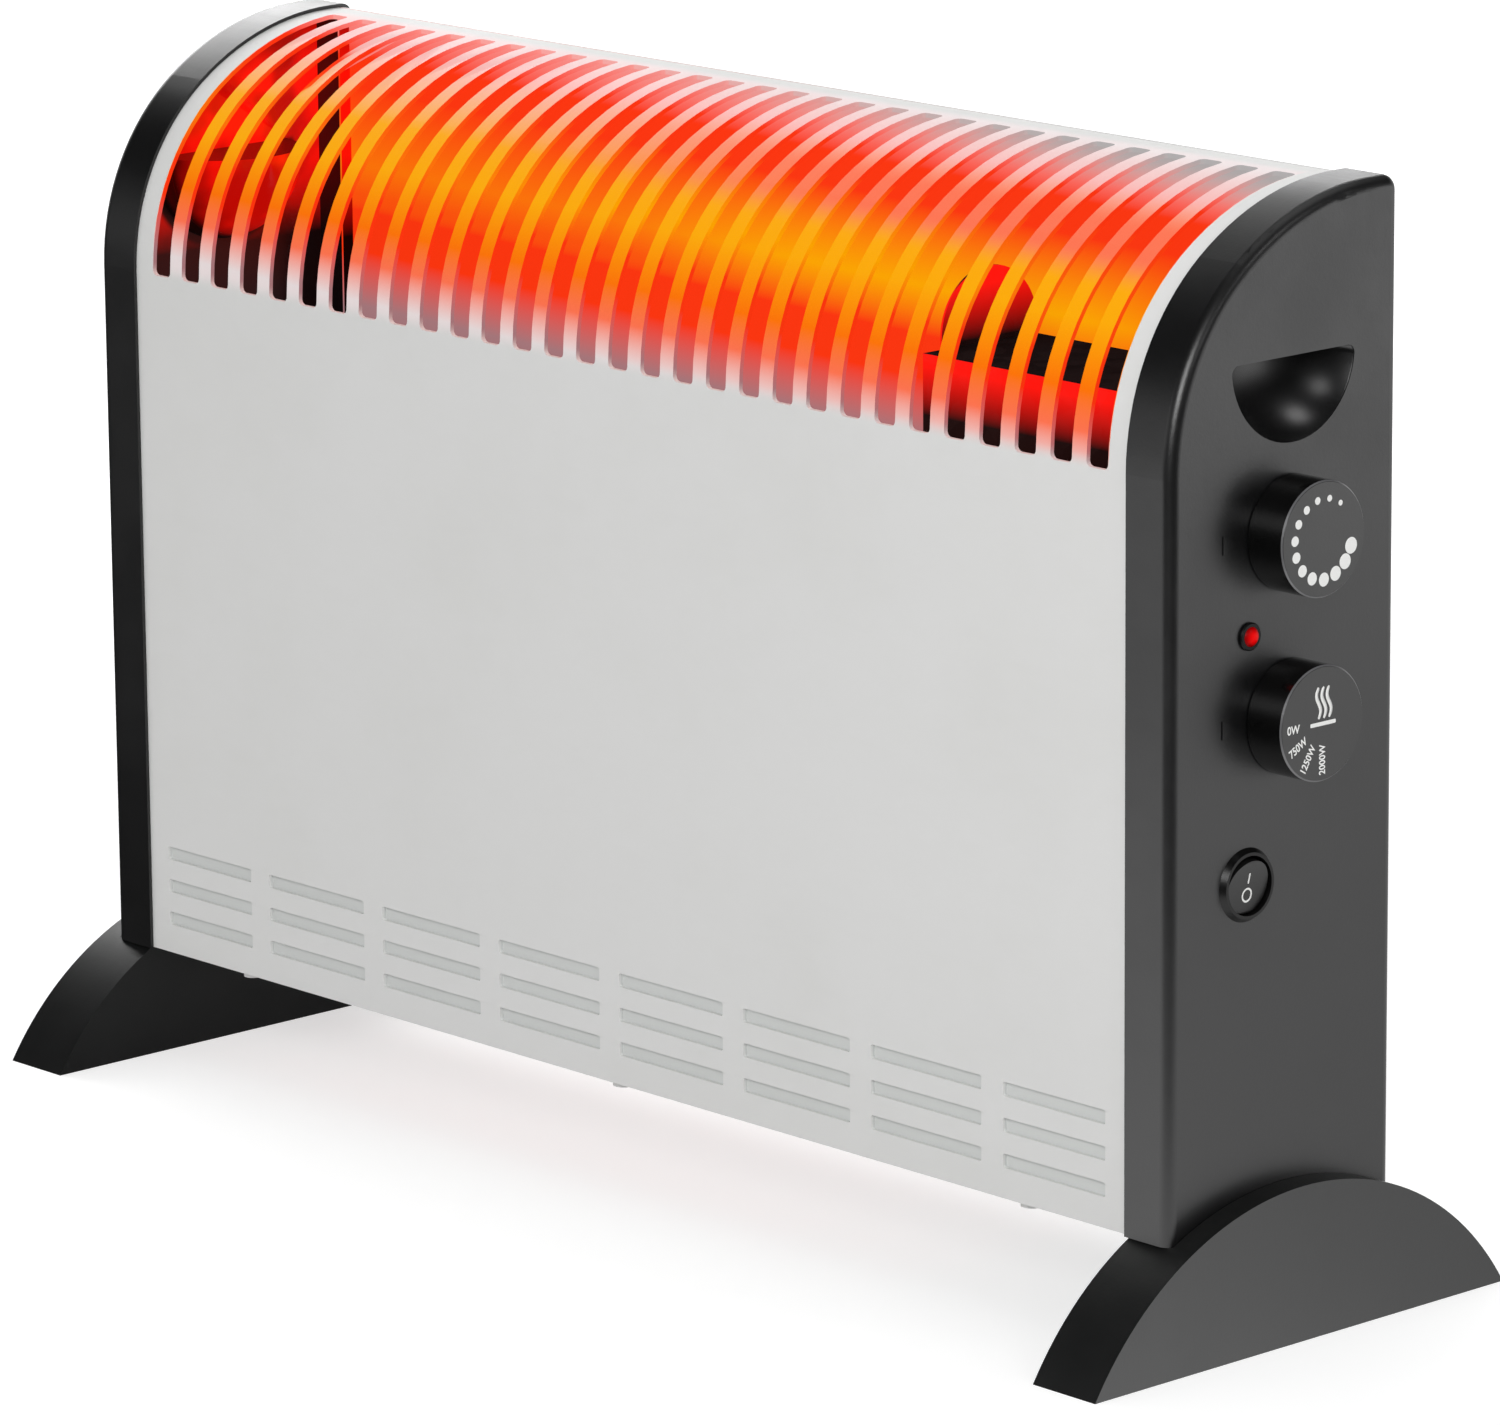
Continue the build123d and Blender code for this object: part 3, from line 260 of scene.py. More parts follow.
    def noise(
        self,
        scale: float,
        detail: float = 3.0,
        rough: float = 0.5,
        stretch: tuple[float, float, float] = (1, 1, 1),
    ) -> Socket:
        """Sample a noise over Object coordinates.

        Args:
            scale: Spots in a metre.
            detail: Octaves of the noise.
            rough: Strength of the finer octaves.
            stretch: Scale of each axis against the others.

        Returns:
            The noise value.
        """
        source = self.coordinates()
        mapped = self.add("ShaderNodeMapping", {"Vector": source, "Scale": stretch}).outputs[0]
        inputs = {"Vector": mapped, "Scale": scale, "Detail": detail, "Roughness": rough}
        return self.add("ShaderNodeTexNoise", inputs).outputs["Fac"]

    def use(self, group: bpy.types.NodeTree, **values: Link) -> bpy.types.Node:
        """Place a node group and fill its named inputs.

        Args:
            group: The group's tree.
            values: Values or sockets by input name, with _ for a space.

        Returns:
            The group node.
        """
        node = self.tree.nodes.new("ShaderNodeGroup")
        node.node_tree = group
        for name, value in values.items():
            socket = node.inputs[name.replace("_", " ")]
            if isinstance(value, Socket):
                self.tree.links.new(value, socket)
            else:
                socket.default_value = value
        return node

    def dim(self, colour: Any, share: Link) -> Socket:
        """Keep a share of a colour and turn the rest black."""
        return self.blend(share, (0, 0, 0, 1), colour)


class EffectGroup:
    """A shader node group with named inputs and outputs, built once and shared."""

    def __init__(self, name: str, inputs: dict[str, float], outputs: Iterable[str]) -> None:
        """Make the empty group.

        Args:
            name: The group's name.
            inputs: Default values by input name.
            outputs: Names of the value outputs.
        """
        self.tree = bpy.data.node_groups.new(name, "ShaderNodeTree")
        for label, value in inputs.items():
            socket = self.tree.interface.new_socket(label, in_out="INPUT", socket_type="NodeSocketFloat")
            socket.default_value = value
        for label in outputs:
            self.tree.interface.new_socket(label, in_out="OUTPUT", socket_type="NodeSocketFloat")
        self.wiring = Wiring(self.tree)
        self.inputs = self.wiring.add("NodeGroupInput").outputs
        self.outputs = self.wiring.add("NodeGroupOutput").inputs

    def give(self, label: str, socket: Socket) -> None:
        """Link a socket to the named output."""
        self.tree.links.new(socket, self.outputs[label])


class Effects:
    """The effects that more than one finish uses."""

    def __init__(self) -> None:
        """Build each group once."""
        self.grain = self.build_grain()
        self.handling = self.build_handling()
        self.dust = self.build_dust()
        self.inside = self.build_inside()

    def build_grain(self) -> bpy.types.NodeTree:
        """Build the fine spark-eroded grain of a mould, or the peel of a paint.

        Returns:
            The group, with a Height for bump and a Mask of its tops.
        """
        group = EffectGroup("surface_grain", {"Scale": 1500.0, "Pits": 0.5}, ("Height", "Mask"))
        wiring = group.wiring
        source = wiring.coordinates()
        noise = wiring.add(
            "ShaderNodeTexNoise", {"Vector": source, "Scale": group.inputs["Scale"], "Detail": 2.0}
        ).outputs["Fac"]
        wide = wiring.times(group.inputs["Scale"], 0.43)
        cells = wiring.add("ShaderNodeTexVoronoi", {"Vector": source, "Scale": wide}).outputs["Distance"]
        pits = wiring.times(cells, group.inputs["Pits"])
        height = wiring.plus(noise, pits)
        group.give("Height", height)
        group.give("Mask", wiring.fade(noise, 0.42, 0.66))
        return group.tree

    def build_handling(self) -> bpy.types.NodeTree:
        """Build the broad, faint smears that hands and cloths leave.

        Returns:
            The group, with a Mask from clean to touched.
        """
        group = EffectGroup("handling_marks", {"Scale": 14.0, "Streak": 0.35}, ("Mask",))
        wiring = group.wiring
        source = wiring.coordinates()
        broad = wiring.add(
            "ShaderNodeTexNoise",
            {"Vector": source, "Scale": group.inputs["Scale"], "Detail": 4.0, "Roughness": 0.6},
        ).outputs["Fac"]
        turned = wiring.add(
            "ShaderNodeMapping", {"Vector": source, "Rotation": (0.5, 0.4, 0.9), "Scale": (1.0, 9.0, 3.0)}
        ).outputs[0]
        fine = wiring.add(
            "ShaderNodeTexNoise", {"Vector": turned, "Scale": 60.0, "Detail": 3.0}
        ).outputs["Fac"]
        smear = wiring.times(wiring.fade(fine, 0.45, 0.75), group.inputs["Streak"])
        group.give("Mask", wiring.calc("ADD", wiring.fade(broad, 0.4, 0.72), smear, clamp=True))
        return group.tree

    def build_dust(self) -> bpy.types.NodeTree:
        """Build the thin dust that settles on faces that look up.

        Returns:
            The group, with a Mask of dust.
        """
        group = EffectGroup("settled_dust", {"Amount": 0.3, "Scale": 220.0}, ("Mask",))
        wiring = group.wiring
        level = wiring.fade(wiring.facing()[Axis.Z], 0.55, 1.0)
        source = wiring.coordinates()
        specks = wiring.add(
            "ShaderNodeTexNoise",
            {"Vector": source, "Scale": group.inputs["Scale"], "Detail": 5.0, "Roughness": 0.7},
        ).outputs["Fac"]
        patch = wiring.fade(specks, 0.35, 0.8)
        group.give("Mask", wiring.times(wiring.times(level, patch), group.inputs["Amount"]))
        return group.tree

    def build_inside(self) -> bpy.types.NodeTree:
        """Build a mask of the walls that face inwards, where the painted glow light goes.

        Returns:
            The group, with a Mask that is one on the inside.
        """
        group = EffectGroup("inner_walls", {"Axis Y": 0.0, "Axis Z": 0.28, "Lowest Z": 0.17}, ("Mask",))
        wiring = group.wiring
        place, facing = wiring.place(), wiring.facing()
        out_y = wiring.times(wiring.minus(place[Axis.Y], group.inputs["Axis Y"]), facing[Axis.Y])
        out_z = wiring.times(wiring.minus(place[Axis.Z], group.inputs["Axis Z"]), facing[Axis.Z])
        inwards = wiring.fade(wiring.plus(out_y, out_z), -0.003, -0.018)
        above = wiring.calc("GREATER_THAN", place[Axis.Z], group.inputs["Lowest Z"])
        group.give("Mask", wiring.times(inwards, above))
        return group.tree


class Surface:
    """One material with its Principled BSDF and the nodes that feed it."""

    def __init__(self, name: str, roughness: float, metallic: float = 0.0) -> None:
        """Make the material.

        Args:
            name: The material's name.
            roughness: Plain roughness of the shader.
            metallic: Plain metallic of the shader.
        """
        self.material = bpy.data.materials.new(name)
        self.material.use_nodes = True
        tree = self.material.node_tree
        tree.nodes.clear()
        self.base_normal: Socket | None = None
        self.wiring = Wiring(tree)
        self.shader = self.wiring.add(
            "ShaderNodeBsdfPrincipled", {"Roughness": roughness, "Metallic": metallic}
        )
        self.wiring.add("ShaderNodeOutputMaterial", {"Surface": self.shader.outputs[0]})

    def feed(self, label: str, socket: Socket) -> None:
        """Link a socket to the named input of the shader."""
        self.wiring.tree.links.new(socket, self.shader.inputs[label])

    def plain(self, label: str, value: Any) -> None:
        """Set the named input of the shader to one value."""
        self.shader.inputs[label].default_value = value

    def bump(self, height: Socket, distance: float, strength: float = 1.0) -> None:
        """Raise the surface by a height.

        Args:
            height: The height socket, from zero to one.
            distance: How far one unit of height stands out, in metres.
            strength: How much of the bump shows.
        """
        inputs = {"Height": height, "Distance": distance, "Strength": strength}
        if self.base_normal:
            inputs["Normal"] = self.base_normal
        self.feed("Normal", self.wiring.add("ShaderNodeBump", inputs).outputs[0])




# Stops of the painted glow light. Places in millimetres: along the slot bars from their foot, and up the
# walls.
BAR_GLOW: Stops = (
    (0.0, GlowColour.PAINT),
    (15.0, GlowColour.CORAL),
    (30.0, GlowColour.ORANGE),
    (60.0, GlowColour.AMBER),
    (85.0, GlowColour.AMBER),
    (135.0, GlowColour.ROSE),
    (170.0, GlowColour.PAINT),
)
INNER_GLOW: Stops = (
    (150.0, GlowColour.DARK),
    (260.0, GlowColour.ASH),
    (280.0, GlowColour.RED),
    (295.0, GlowColour.RED),
    (312.0, GlowColour.AMBER),
    (340.0, GlowColour.RED),
    (352.0, GlowColour.RED),
    (375.0, GlowColour.ROSE),
)
WALL_GLOW: Stops = ((290.0, GlowColour.DARK), (320.0, GlowColour.EMBER), (350.0, GlowColour.EMBER), (380.0, GlowColour.DARK))
SHIELD_FRONT_GLOW: Stops = ((288.0, GlowColour.DARK), (304.0, GlowColour.EMBER))
SHIELD_PLATE_GLOW: Stops = ((310.0, GlowColour.DARK), (328.0, GlowColour.EMBER))


@dataclass(frozen=True)
class SheetPaint:
    """White powder coat on sheet steel, with painted glow light at the outlet and inside, painted shade on
    the louvre recess floors and a painted grey shade at the top of the inner walls.

    Places and ranges are in millimetres. A range is where a fade starts and ends.
    """

    name: str
    effects: Effects
    colour: str = "#E4E4E3"
    soiled: str = "#DCDCD9"
    dusty: str = "#C9C4BB"
    recess_shade_colour: str = "#C9CDCB"
    wall_shade: str = "#B2B0B0"
    roughness: float = 0.48
    gloss: float = 0.06
    soiled_share: float = 0.35
    recess_shade_share: float = 0.55
    bars: bool = False
    flanges: bool = False
    bar_light: float = 0.68
    wall_light: float = 0.85
    bar_foot: float = 240.55
    bar_tilt: float = 0.026
    wall_tilt: float = 0.02
    cut_edge: Range = (0.4, 0.7)
    edge_drop: float = -0.35
    rear_inner_y: float = 48.2
    bar_across: Range = (240.9, 241.2)
    bar_above: Range = (288.5, 294.5)
    bar_before: Range = (33.5, 40.5)
    recess_deep: Range = (-50.9, -50.2)
    recess_high: Range = (100.0, 104.0)
    flange_high: Range = (170.0, 200.0)
    shade_high: Range = (357.0, 373.0)
    shade_wide: Range = (-150.0, 170.0)
    coral_wide: Range = (-130.0, 100.0)
    coral_rise: Range = (75.0, 95.0)
    coral_fall: Range = (110.0, 140.0)
    red_right: Range = (120.0, 225.0)
    red_left: Range = (-120.0, 0.0)
    red_right_share: float = 0.85
    red_left_share: float = 0.6
    red_rise: Range = (293.0, 302.0)
    red_fall: Range = (334.0, 345.0)

    def material(self) -> bpy.types.Material:
        """Build the paint.

        Returns:
            The material.
        """
        surface = Surface(self.name, self.roughness)
        wiring = surface.wiring
        peel = wiring.use(self.effects.grain, Scale=900.0, Pits=0.8)
        marks = wiring.use(self.effects.handling, Scale=9.0, Streak=0.2).outputs["Mask"]
        dust = wiring.use(self.effects.dust, Amount=0.12, Scale=300.0).outputs["Mask"]
        paint = wiring.blend(
            wiring.times(marks, self.soiled_share), linear(self.colour), linear(self.soiled)
        )
        paint = wiring.blend(dust, paint, linear(self.dusty))
        wide, deep, high = (wiring.millimetres(part) for part in wiring.place().values())
        edges = wiring.fade(wiring.calc("ABSOLUTE", wiring.facing()[Axis.X]), *self.cut_edge)
        # Painted glow light: the bars, inner walls, flanges and cut edges are painted steel, not lamps; the
        # glow goes into the emission, and a dimmed copy goes into the base colour.
        inner = self.inner_glow(wiring, wide, deep, high, edges)
        inside = wiring.use(self.effects.inside).outputs["Mask"]
        glow, lit, light = inner, inside, self.wall_light
        if self.flanges:
            glow = wiring.blend(edges, inner, wiring.ramp(high, WALL_GLOW))
            lit = wiring.most(inside, wiring.times(edges, wiring.fade(high, *self.flange_high)))
        if self.bars:
            outer = self.bar_glow(wiring, wide, deep, high)
            glow = wiring.blend(wiring.most(inside, edges), outer, inner)
            lit = wiring.most(inside, self.bar_mask(wiring, wide, deep, high))
            light = wiring.fade(inside, 0.0, 1.0, self.bar_light, self.wall_light)
            # Painted shade: the floors of the louvre recesses are darkened.
            shaded_floors = wiring.times(
                wiring.fade(deep, *self.recess_deep), wiring.fade(high, *self.recess_high, 1.0, 0.0)
            )
            paint = wiring.blend(wiring.times(shaded_floors, self.recess_shade_share), paint, linear(self.recess_shade_colour))
        kept = wiring.minus(1.0, light)
        surface.feed("Base Color", wiring.blend(lit, paint, wiring.dim(glow, kept)))
        surface.feed("Emission Color", wiring.dim(glow, wiring.times(lit, light)))
        surface.plain("Emission Strength", 1.0)
        surface.plain("Specular IOR Level", self.gloss)
        surface.feed("Roughness", wiring.calc("MULTIPLY_ADD", marks, 0.08, self.roughness))
        surface.bump(peel.outputs["Height"], 0.00002, 0.5)
        return surface.material

    def inner_glow(self, wiring: Wiring, wide: Socket, deep: Socket, high: Socket, edges: Socket) -> Socket:
        """Paint glow light on the walls inside, and on the slots' cut edges through which they are seen,
        with a painted grey shade at the top of the walls.

        Args:
            wiring: The material's nodes.
            wide: Place along the heater.
            deep: Place from front to back.
            high: Height above the floor.
            edges: Mask of the cut edges.

        Returns:
            The colour.
        """
        wall = wiring.plus(high, wiring.times(wide, self.wall_tilt))
        if self.bars:
            sunk = wiring.times(wiring.minus(self.rear_inner_y, deep), edges)
            wall = wiring.calc("MULTIPLY_ADD", sunk, self.edge_drop, wall)
        # Painted shade: the top of the inner wall turns grey instead of glowing.
        shaded_top = wiring.times(wiring.fade(wall, *self.shade_high), wiring.fade(wide, *self.shade_wide))
        red = self.red_ends(wiring, wide, wall)
        inner = wiring.blend(red, wiring.ramp(wall, INNER_GLOW), linear(GlowColour.RED.value))
        return wiring.blend(shaded_top, inner, linear(self.wall_shade))

    def bar_glow(self, wiring: Wiring, wide: Socket, deep: Socket, high: Socket) -> Socket:
        """Paint glow light on the bars between the slots, with more coral at the right of their tops.

        Args:
            wiring: The material's nodes.
            wide: Place along the heater.
            deep: Place from front to back.
            high: Height above the floor.

        Returns:
            The colour.
        """
        along = wiring.plus(wiring.plus(deep, high), wiring.times(wide, self.bar_tilt))
        along = wiring.minus(along, self.bar_foot)
        upper = wiring.times(
            wiring.fade(along, *self.coral_rise), wiring.fade(along, *self.coral_fall, 1.0, 0.0)
        )
        coral = wiring.times(wiring.fade(wide, *self.coral_wide), upper)
        return wiring.blend(coral, wiring.ramp(along, BAR_GLOW), linear(GlowColour.CORAL.value))

    def bar_mask(self, wiring: Wiring, wide: Socket, deep: Socket, high: Socket) -> Socket:
        """Find the field of the slots on the outside of the casing.

        Args:
            wiring: The material's nodes.
            wide: Place along the heater.
            deep: Place from front to back.
            high: Height above the floor.

        Returns:
            The mask.
        """
        across = wiring.fade(wiring.calc("ABSOLUTE", wide), *self.bar_across, 1.0, 0.0)
        above = wiring.fade(high, *self.bar_above)
        before = wiring.fade(deep, *self.bar_before, 1.0, 0.0)
        return wiring.times(across, wiring.times(above, before))

    def red_ends(self, wiring: Wiring, wide: Socket, wall: Socket) -> Socket:
        """Find where the painted glow inside turns red instead of yellow, towards both ends.

        Args:
            wiring: The material's nodes.
            wide: Place along the heater.
            wall: Height on the inner wall.

        Returns:
            The mask.
        """
        right = wiring.fade(wide, *self.red_right, 0.0, self.red_right_share)
        left = wiring.fade(wide, *self.red_left, self.red_left_share, 0.0)
        band = wiring.times(wiring.fade(wall, *self.red_rise), wiring.fade(wall, *self.red_fall, 1.0, 0.0))
        return wiring.times(wiring.most(right, left), band)


@dataclass(frozen=True)
class Knob:
    """A turned knob, with a painted highlight on the rim of its face, and whose side is smooth."""

    radius: float
    middle: Vector
    rim_width: float = 0.00035
    rim_inset: float = 0.0001
    side_roughness: float = 0.14
    rim_highlight_colour: str = "#5C5C5E"

    def highlight_rim_and_smooth_side(self, wiring: Wiring, base: Socket, rough: Link) -> tuple[Socket, Socket]:
        """Paint a highlight on the rim of the face and smooth the side.

        Args:
            wiring: The material's nodes.
            base: Colour of the plastic.
            rough: Roughness of the plastic.

        Returns:
            The new colour and roughness.
        """
        place = wiring.place()
        reach = wiring.from_axis(place, self.middle.y, self.middle.z)
        face = wiring.fade(wiring.facing()[Axis.X], 0.2, 0.5)
        # Painted highlight: a light ring along the rim of the face.
        outer = self.radius - self.rim_inset
        inner = wiring.fade(reach, outer - self.rim_width - 0.0001, outer - self.rim_width)
        rim = wiring.times(face, wiring.times(inner, wiring.fade(reach, outer, outer + 0.0001, 1.0, 0.0)))
        own = wiring.fade(reach, self.radius + 0.001, self.radius + 0.002, 1.0, 0.0)
        side = wiring.times(own, wiring.minus(1.0, face))
        smooth = wiring.minus(self.side_roughness, rough)
        return wiring.blend(rim, base, linear(self.rim_highlight_colour)), wiring.calc(
            "MULTIPLY_ADD", side, smooth, rough
        )


@dataclass(frozen=True)
class Moulding:
    """Injection-moulded plastic with a fine grain, dust and handling marks."""

    name: str
    effects: Effects
    colour: str = "#0A0A0B"
    worn: str = "#111112"
    roughness: float = 0.36
    gloss: float = 0.68
    grain_scale: float = 1800.0
    grain_depth: float = 0.00003
    dust: float = 0.03
    painted_glow_wall: bool = False
    grip_y: float = 2.25
    grip_z: float = 323.2
    grip_reach: float = 33.5
    bowl_radius: float = 28.6
    bowl_roughness: float = 0.25
    bowl_flatness: float = 1.0
    bulge_lift: float = 22.0
    wall_start_x: float = 262.0
    bowl_floor_x: Range = (269.2, 269.6)
    dusty: str = "#6A675F"
    top_share: float = 0.35
    worn_share: float = 0.2
    knobs: tuple[Knob, ...] = ()

    def material(self) -> bpy.types.Material:
        """Build the plastic.

        Returns:
            The material.
        """
        surface = Surface(self.name, self.roughness)
        wiring = surface.wiring
        grain = wiring.use(self.effects.grain, Scale=self.grain_scale, Pits=0.6)
        marks = wiring.use(self.effects.handling, Scale=16.0, Streak=0.3).outputs["Mask"]
        dust = wiring.use(self.effects.dust, Amount=self.dust, Scale=260.0).outputs["Mask"]
        tops = wiring.times(grain.outputs["Mask"], self.top_share)
        base = wiring.blend(tops, linear(self.colour), linear(self.worn))
        base = wiring.blend(wiring.times(marks, self.worn_share), base, linear(self.worn))
        base = wiring.blend(dust, base, linear(self.dusty))
        rough = wiring.calc("MULTIPLY_ADD", marks, 0.07, self.roughness - 0.03)
        height = grain.outputs["Height"]
        if self.painted_glow_wall:
            bowl = self.dress_end_cap(surface)
            rough = wiring.calc("MULTIPLY_ADD", bowl, wiring.minus(self.bowl_roughness, rough), rough)
            height = wiring.times(height, wiring.calc("MULTIPLY_ADD", bowl, -0.9, 1.0))
            surface.base_normal = self.shallow_bowl(wiring, bowl)
        for knob in self.knobs:
            base, rough = knob.highlight_rim_and_smooth_side(wiring, base, rough)
        surface.feed("Base Color", base)
        surface.feed("Roughness", rough)
        surface.plain("Specular IOR Level", self.gloss)
        surface.bump(height, self.grain_depth, 0.6)
        return surface.material

    def shallow_bowl(self, wiring: Wiring, bowl: Socket) -> Socket:
        """Lean the shading of the grip bowl outwards, as a shallower bowl has it.

        Args:
            wiring: The material's nodes.
            bowl: Mask of the bowl.

        Returns:
            The normal for the whole cap.
        """
        side = wiring.calc("SIGN", wiring.place()[Axis.X])
        amount = wiring.times(wiring.times(side, bowl), self.bowl_flatness)
        lean = wiring.add("ShaderNodeCombineXYZ", {"X": amount}).outputs[0]
        own = wiring.add("ShaderNodeNewGeometry").outputs["Normal"]
        leaned = wiring.add("ShaderNodeVectorMath", {0: own, 1: lean}, operation="ADD").outputs[0]
        return wiring.add("ShaderNodeVectorMath", {0: leaned}, operation="NORMALIZE").outputs[0]

    def dress_end_cap(self, surface: Surface) -> Socket:
        """Paint red glow light on the inner wall of an end cap, with a painted dark ring round the bulge,
        and find its polished grip bowl.

        Args:
            surface: The cap's material.

        Returns:
            A mask of the bowl.
        """
        wiring = surface.wiring
        place, facing = wiring.place(), wiring.facing()
        away = wiring.calc("ABSOLUTE", place[Axis.X])
        inwards = wiring.times(wiring.times(wiring.calc("SIGN", place[Axis.X]), facing[Axis.X]), -1.0)
        reach = wiring.from_axis(place, self.grip_y * MM, self.grip_z * MM)
        bulge = wiring.fade(reach, self.grip_reach * MM, (self.grip_reach + 0.6) * MM, 1.0, 0.0)
        wall = wiring.fade(away, (self.wall_start_x - 1.0) * MM, self.wall_start_x * MM)
        seen = wiring.times(wiring.fade(inwards, 0.25, 0.8), wiring.most(bulge, wall))
        high = wiring.millimetres(place[Axis.Z])
        lower = wiring.fade(high, self.grip_z + 1.0, self.grip_z + 4.0, 1.0, 0.0)
        # Painted shade and glow: a dark ring round the bulge, and a brighter red glow lifted onto the
        # bulge's face.
        inner = wiring.fade(reach, (self.bowl_radius - 1.5) * MM, (self.bowl_radius + 1.5) * MM, 1.0, 0.0)
        outer = wiring.fade(reach, (self.grip_reach - 1.0) * MM, (self.grip_reach + 1.5) * MM)
        ring = wiring.minus(1.0, wiring.plus(inner, outer))
        seen = wiring.times(seen, wiring.minus(1.0, wiring.times(ring, lower)))
        lifted = wiring.calc("MULTIPLY_ADD", wiring.times(inner, lower), self.bulge_lift, high)
        rise = wiring.ramp(lifted, WALL_GLOW)
        patch = wiring.fade(wiring.noise(46.0, 2.0), 0.36, 0.62, 0.5, 1.0)
        light = wiring.blend(wiring.times(seen, patch), (0, 0, 0, 1), rise)
        surface.feed("Emission Color", light)
        surface.plain("Emission Strength", 1.0)
        bowl = wiring.fade(reach, self.bowl_radius * MM, (self.bowl_radius + 0.4) * MM, 1.0, 0.0)
        sunk = wiring.fade(away, self.bowl_floor_x[0] * MM, self.bowl_floor_x[1] * MM, 1.0, 0.0)
        return wiring.times(bowl, sunk)


@dataclass(frozen=True)
class Metal:
    """Bare or plated metal with drawn lines and tarnish."""

    name: str
    effects: Effects
    colour: str = "#A9A9A7"
    tarnish: str = "#6F6C66"
    roughness: float = 0.32
    stretch: tuple[float, float, float] = (1.0, 18.0, 18.0)
    line_scale: float = 120.0
    # heat is the colour of a painted glow light.
    heat: str = "#000000"
    painted_glow_strength: float = 0.0

    def material(self) -> bpy.types.Material:
        """Build the metal.

        Returns:
            The material.
        """
        surface = Surface(self.name, self.roughness, 1.0)
        wiring = surface.wiring
        lines = wiring.noise(self.line_scale, 3.0, 0.55, self.stretch)
        spots = wiring.fade(wiring.noise(180.0, 4.0, 0.65), 0.45, 0.75)
        marks = wiring.use(self.effects.handling, Scale=70.0, Streak=0.4).outputs["Mask"]
        base = wiring.blend(spots, linear(self.colour), linear(self.tarnish))
        base = wiring.blend(wiring.times(lines, 0.3), base, linear(self.tarnish))
        surface.feed("Base Color", base)
        surface.feed("Roughness", wiring.calc("MULTIPLY_ADD", marks, 0.18, self.roughness))
        # Painted glow light: the fins and rods emit a patchy red glow.
        if self.painted_glow_strength:
            patch = wiring.fade(wiring.noise(30.0, 2.0), 0.3, 0.7, 0.55, 1.0)
            surface.feed("Emission Color", wiring.blend(patch, (0, 0, 0, 1), linear(self.heat)))
            surface.plain("Emission Strength", self.painted_glow_strength)
        surface.bump(lines, 0.00002, 0.5)
        return surface.material


@dataclass(frozen=True)
class SpangledSteel:
    """Zinc-coated steel with crystal spangle; the shield's copy is darkened by painted shade and lit red by
    painted glow where the air is hottest.
    """

    name: str
    effects: Effects
    colour: str = "#9A9B9C"
    shade: str = "#7C7E80"
    roughness: float = 0.4
    shelf_z: float = 308.3
    painted_glow_and_shade: bool = False

    def material(self) -> bpy.types.Material:
        """Build the coated steel.

        Returns:
            The material.
        """
        surface = Surface(self.name, self.roughness, 0.9)
        wiring = surface.wiring
        source = wiring.coordinates()
        spangle = wiring.add("ShaderNodeTexVoronoi", {"Vector": source, "Scale": 160.0})
        tone = wiring.add("ShaderNodeSeparateColor", {0: spangle.outputs["Color"]}).outputs[0]
        base = wiring.blend(tone, linear(self.colour), linear(self.shade))
        marks = wiring.use(self.effects.handling, Scale=30.0, Streak=0.4).outputs["Mask"]
        base = wiring.blend(wiring.times(marks, 0.4), base, linear("#6C6A66"))
        if self.painted_glow_and_shade:
            # Painted shade and glow: the base is darkened near black and a red glow is emitted.
            base = wiring.blend(0.95, base, linear("#040202"))
            surface.feed("Emission Color", self.red_light(wiring))
            surface.plain("Emission Strength", 1.0)
            surface.plain("Metallic", 0.0)
            surface.plain("Specular IOR Level", 0.0)
        surface.feed("Base Color", base)
        surface.feed("Roughness", wiring.calc("MULTIPLY_ADD", tone, 0.12, self.roughness))
        surface.bump(tone, 0.00001, 0.4)
        return surface.material

    def red_light(self, wiring: Wiring) -> Socket:
        """Paint red glow light on the shield's walls and leave its top dark.

        Args:
            wiring: The material's nodes.

        Returns:
            The emission colour.
        """
        place, facing = wiring.place(), wiring.facing()
        high = wiring.millimetres(place[Axis.Z])
        front = wiring.ramp(high, SHIELD_FRONT_GLOW)
        plate = wiring.ramp(high, SHIELD_PLATE_GLOW)
        walls = wiring.calc("ABSOLUTE", facing[Axis.Y])
        light = wiring.blend(wiring.fade(walls, 0.5, 0.8), (0, 0, 0, 1), front)
        sides = wiring.fade(wiring.calc("ABSOLUTE", facing[Axis.X]), 0.5, 0.8)
        over = wiring.fade(high, self.shelf_z, self.shelf_z + 0.5)
        return wiring.blend(wiring.times(sides, over), light, plate)


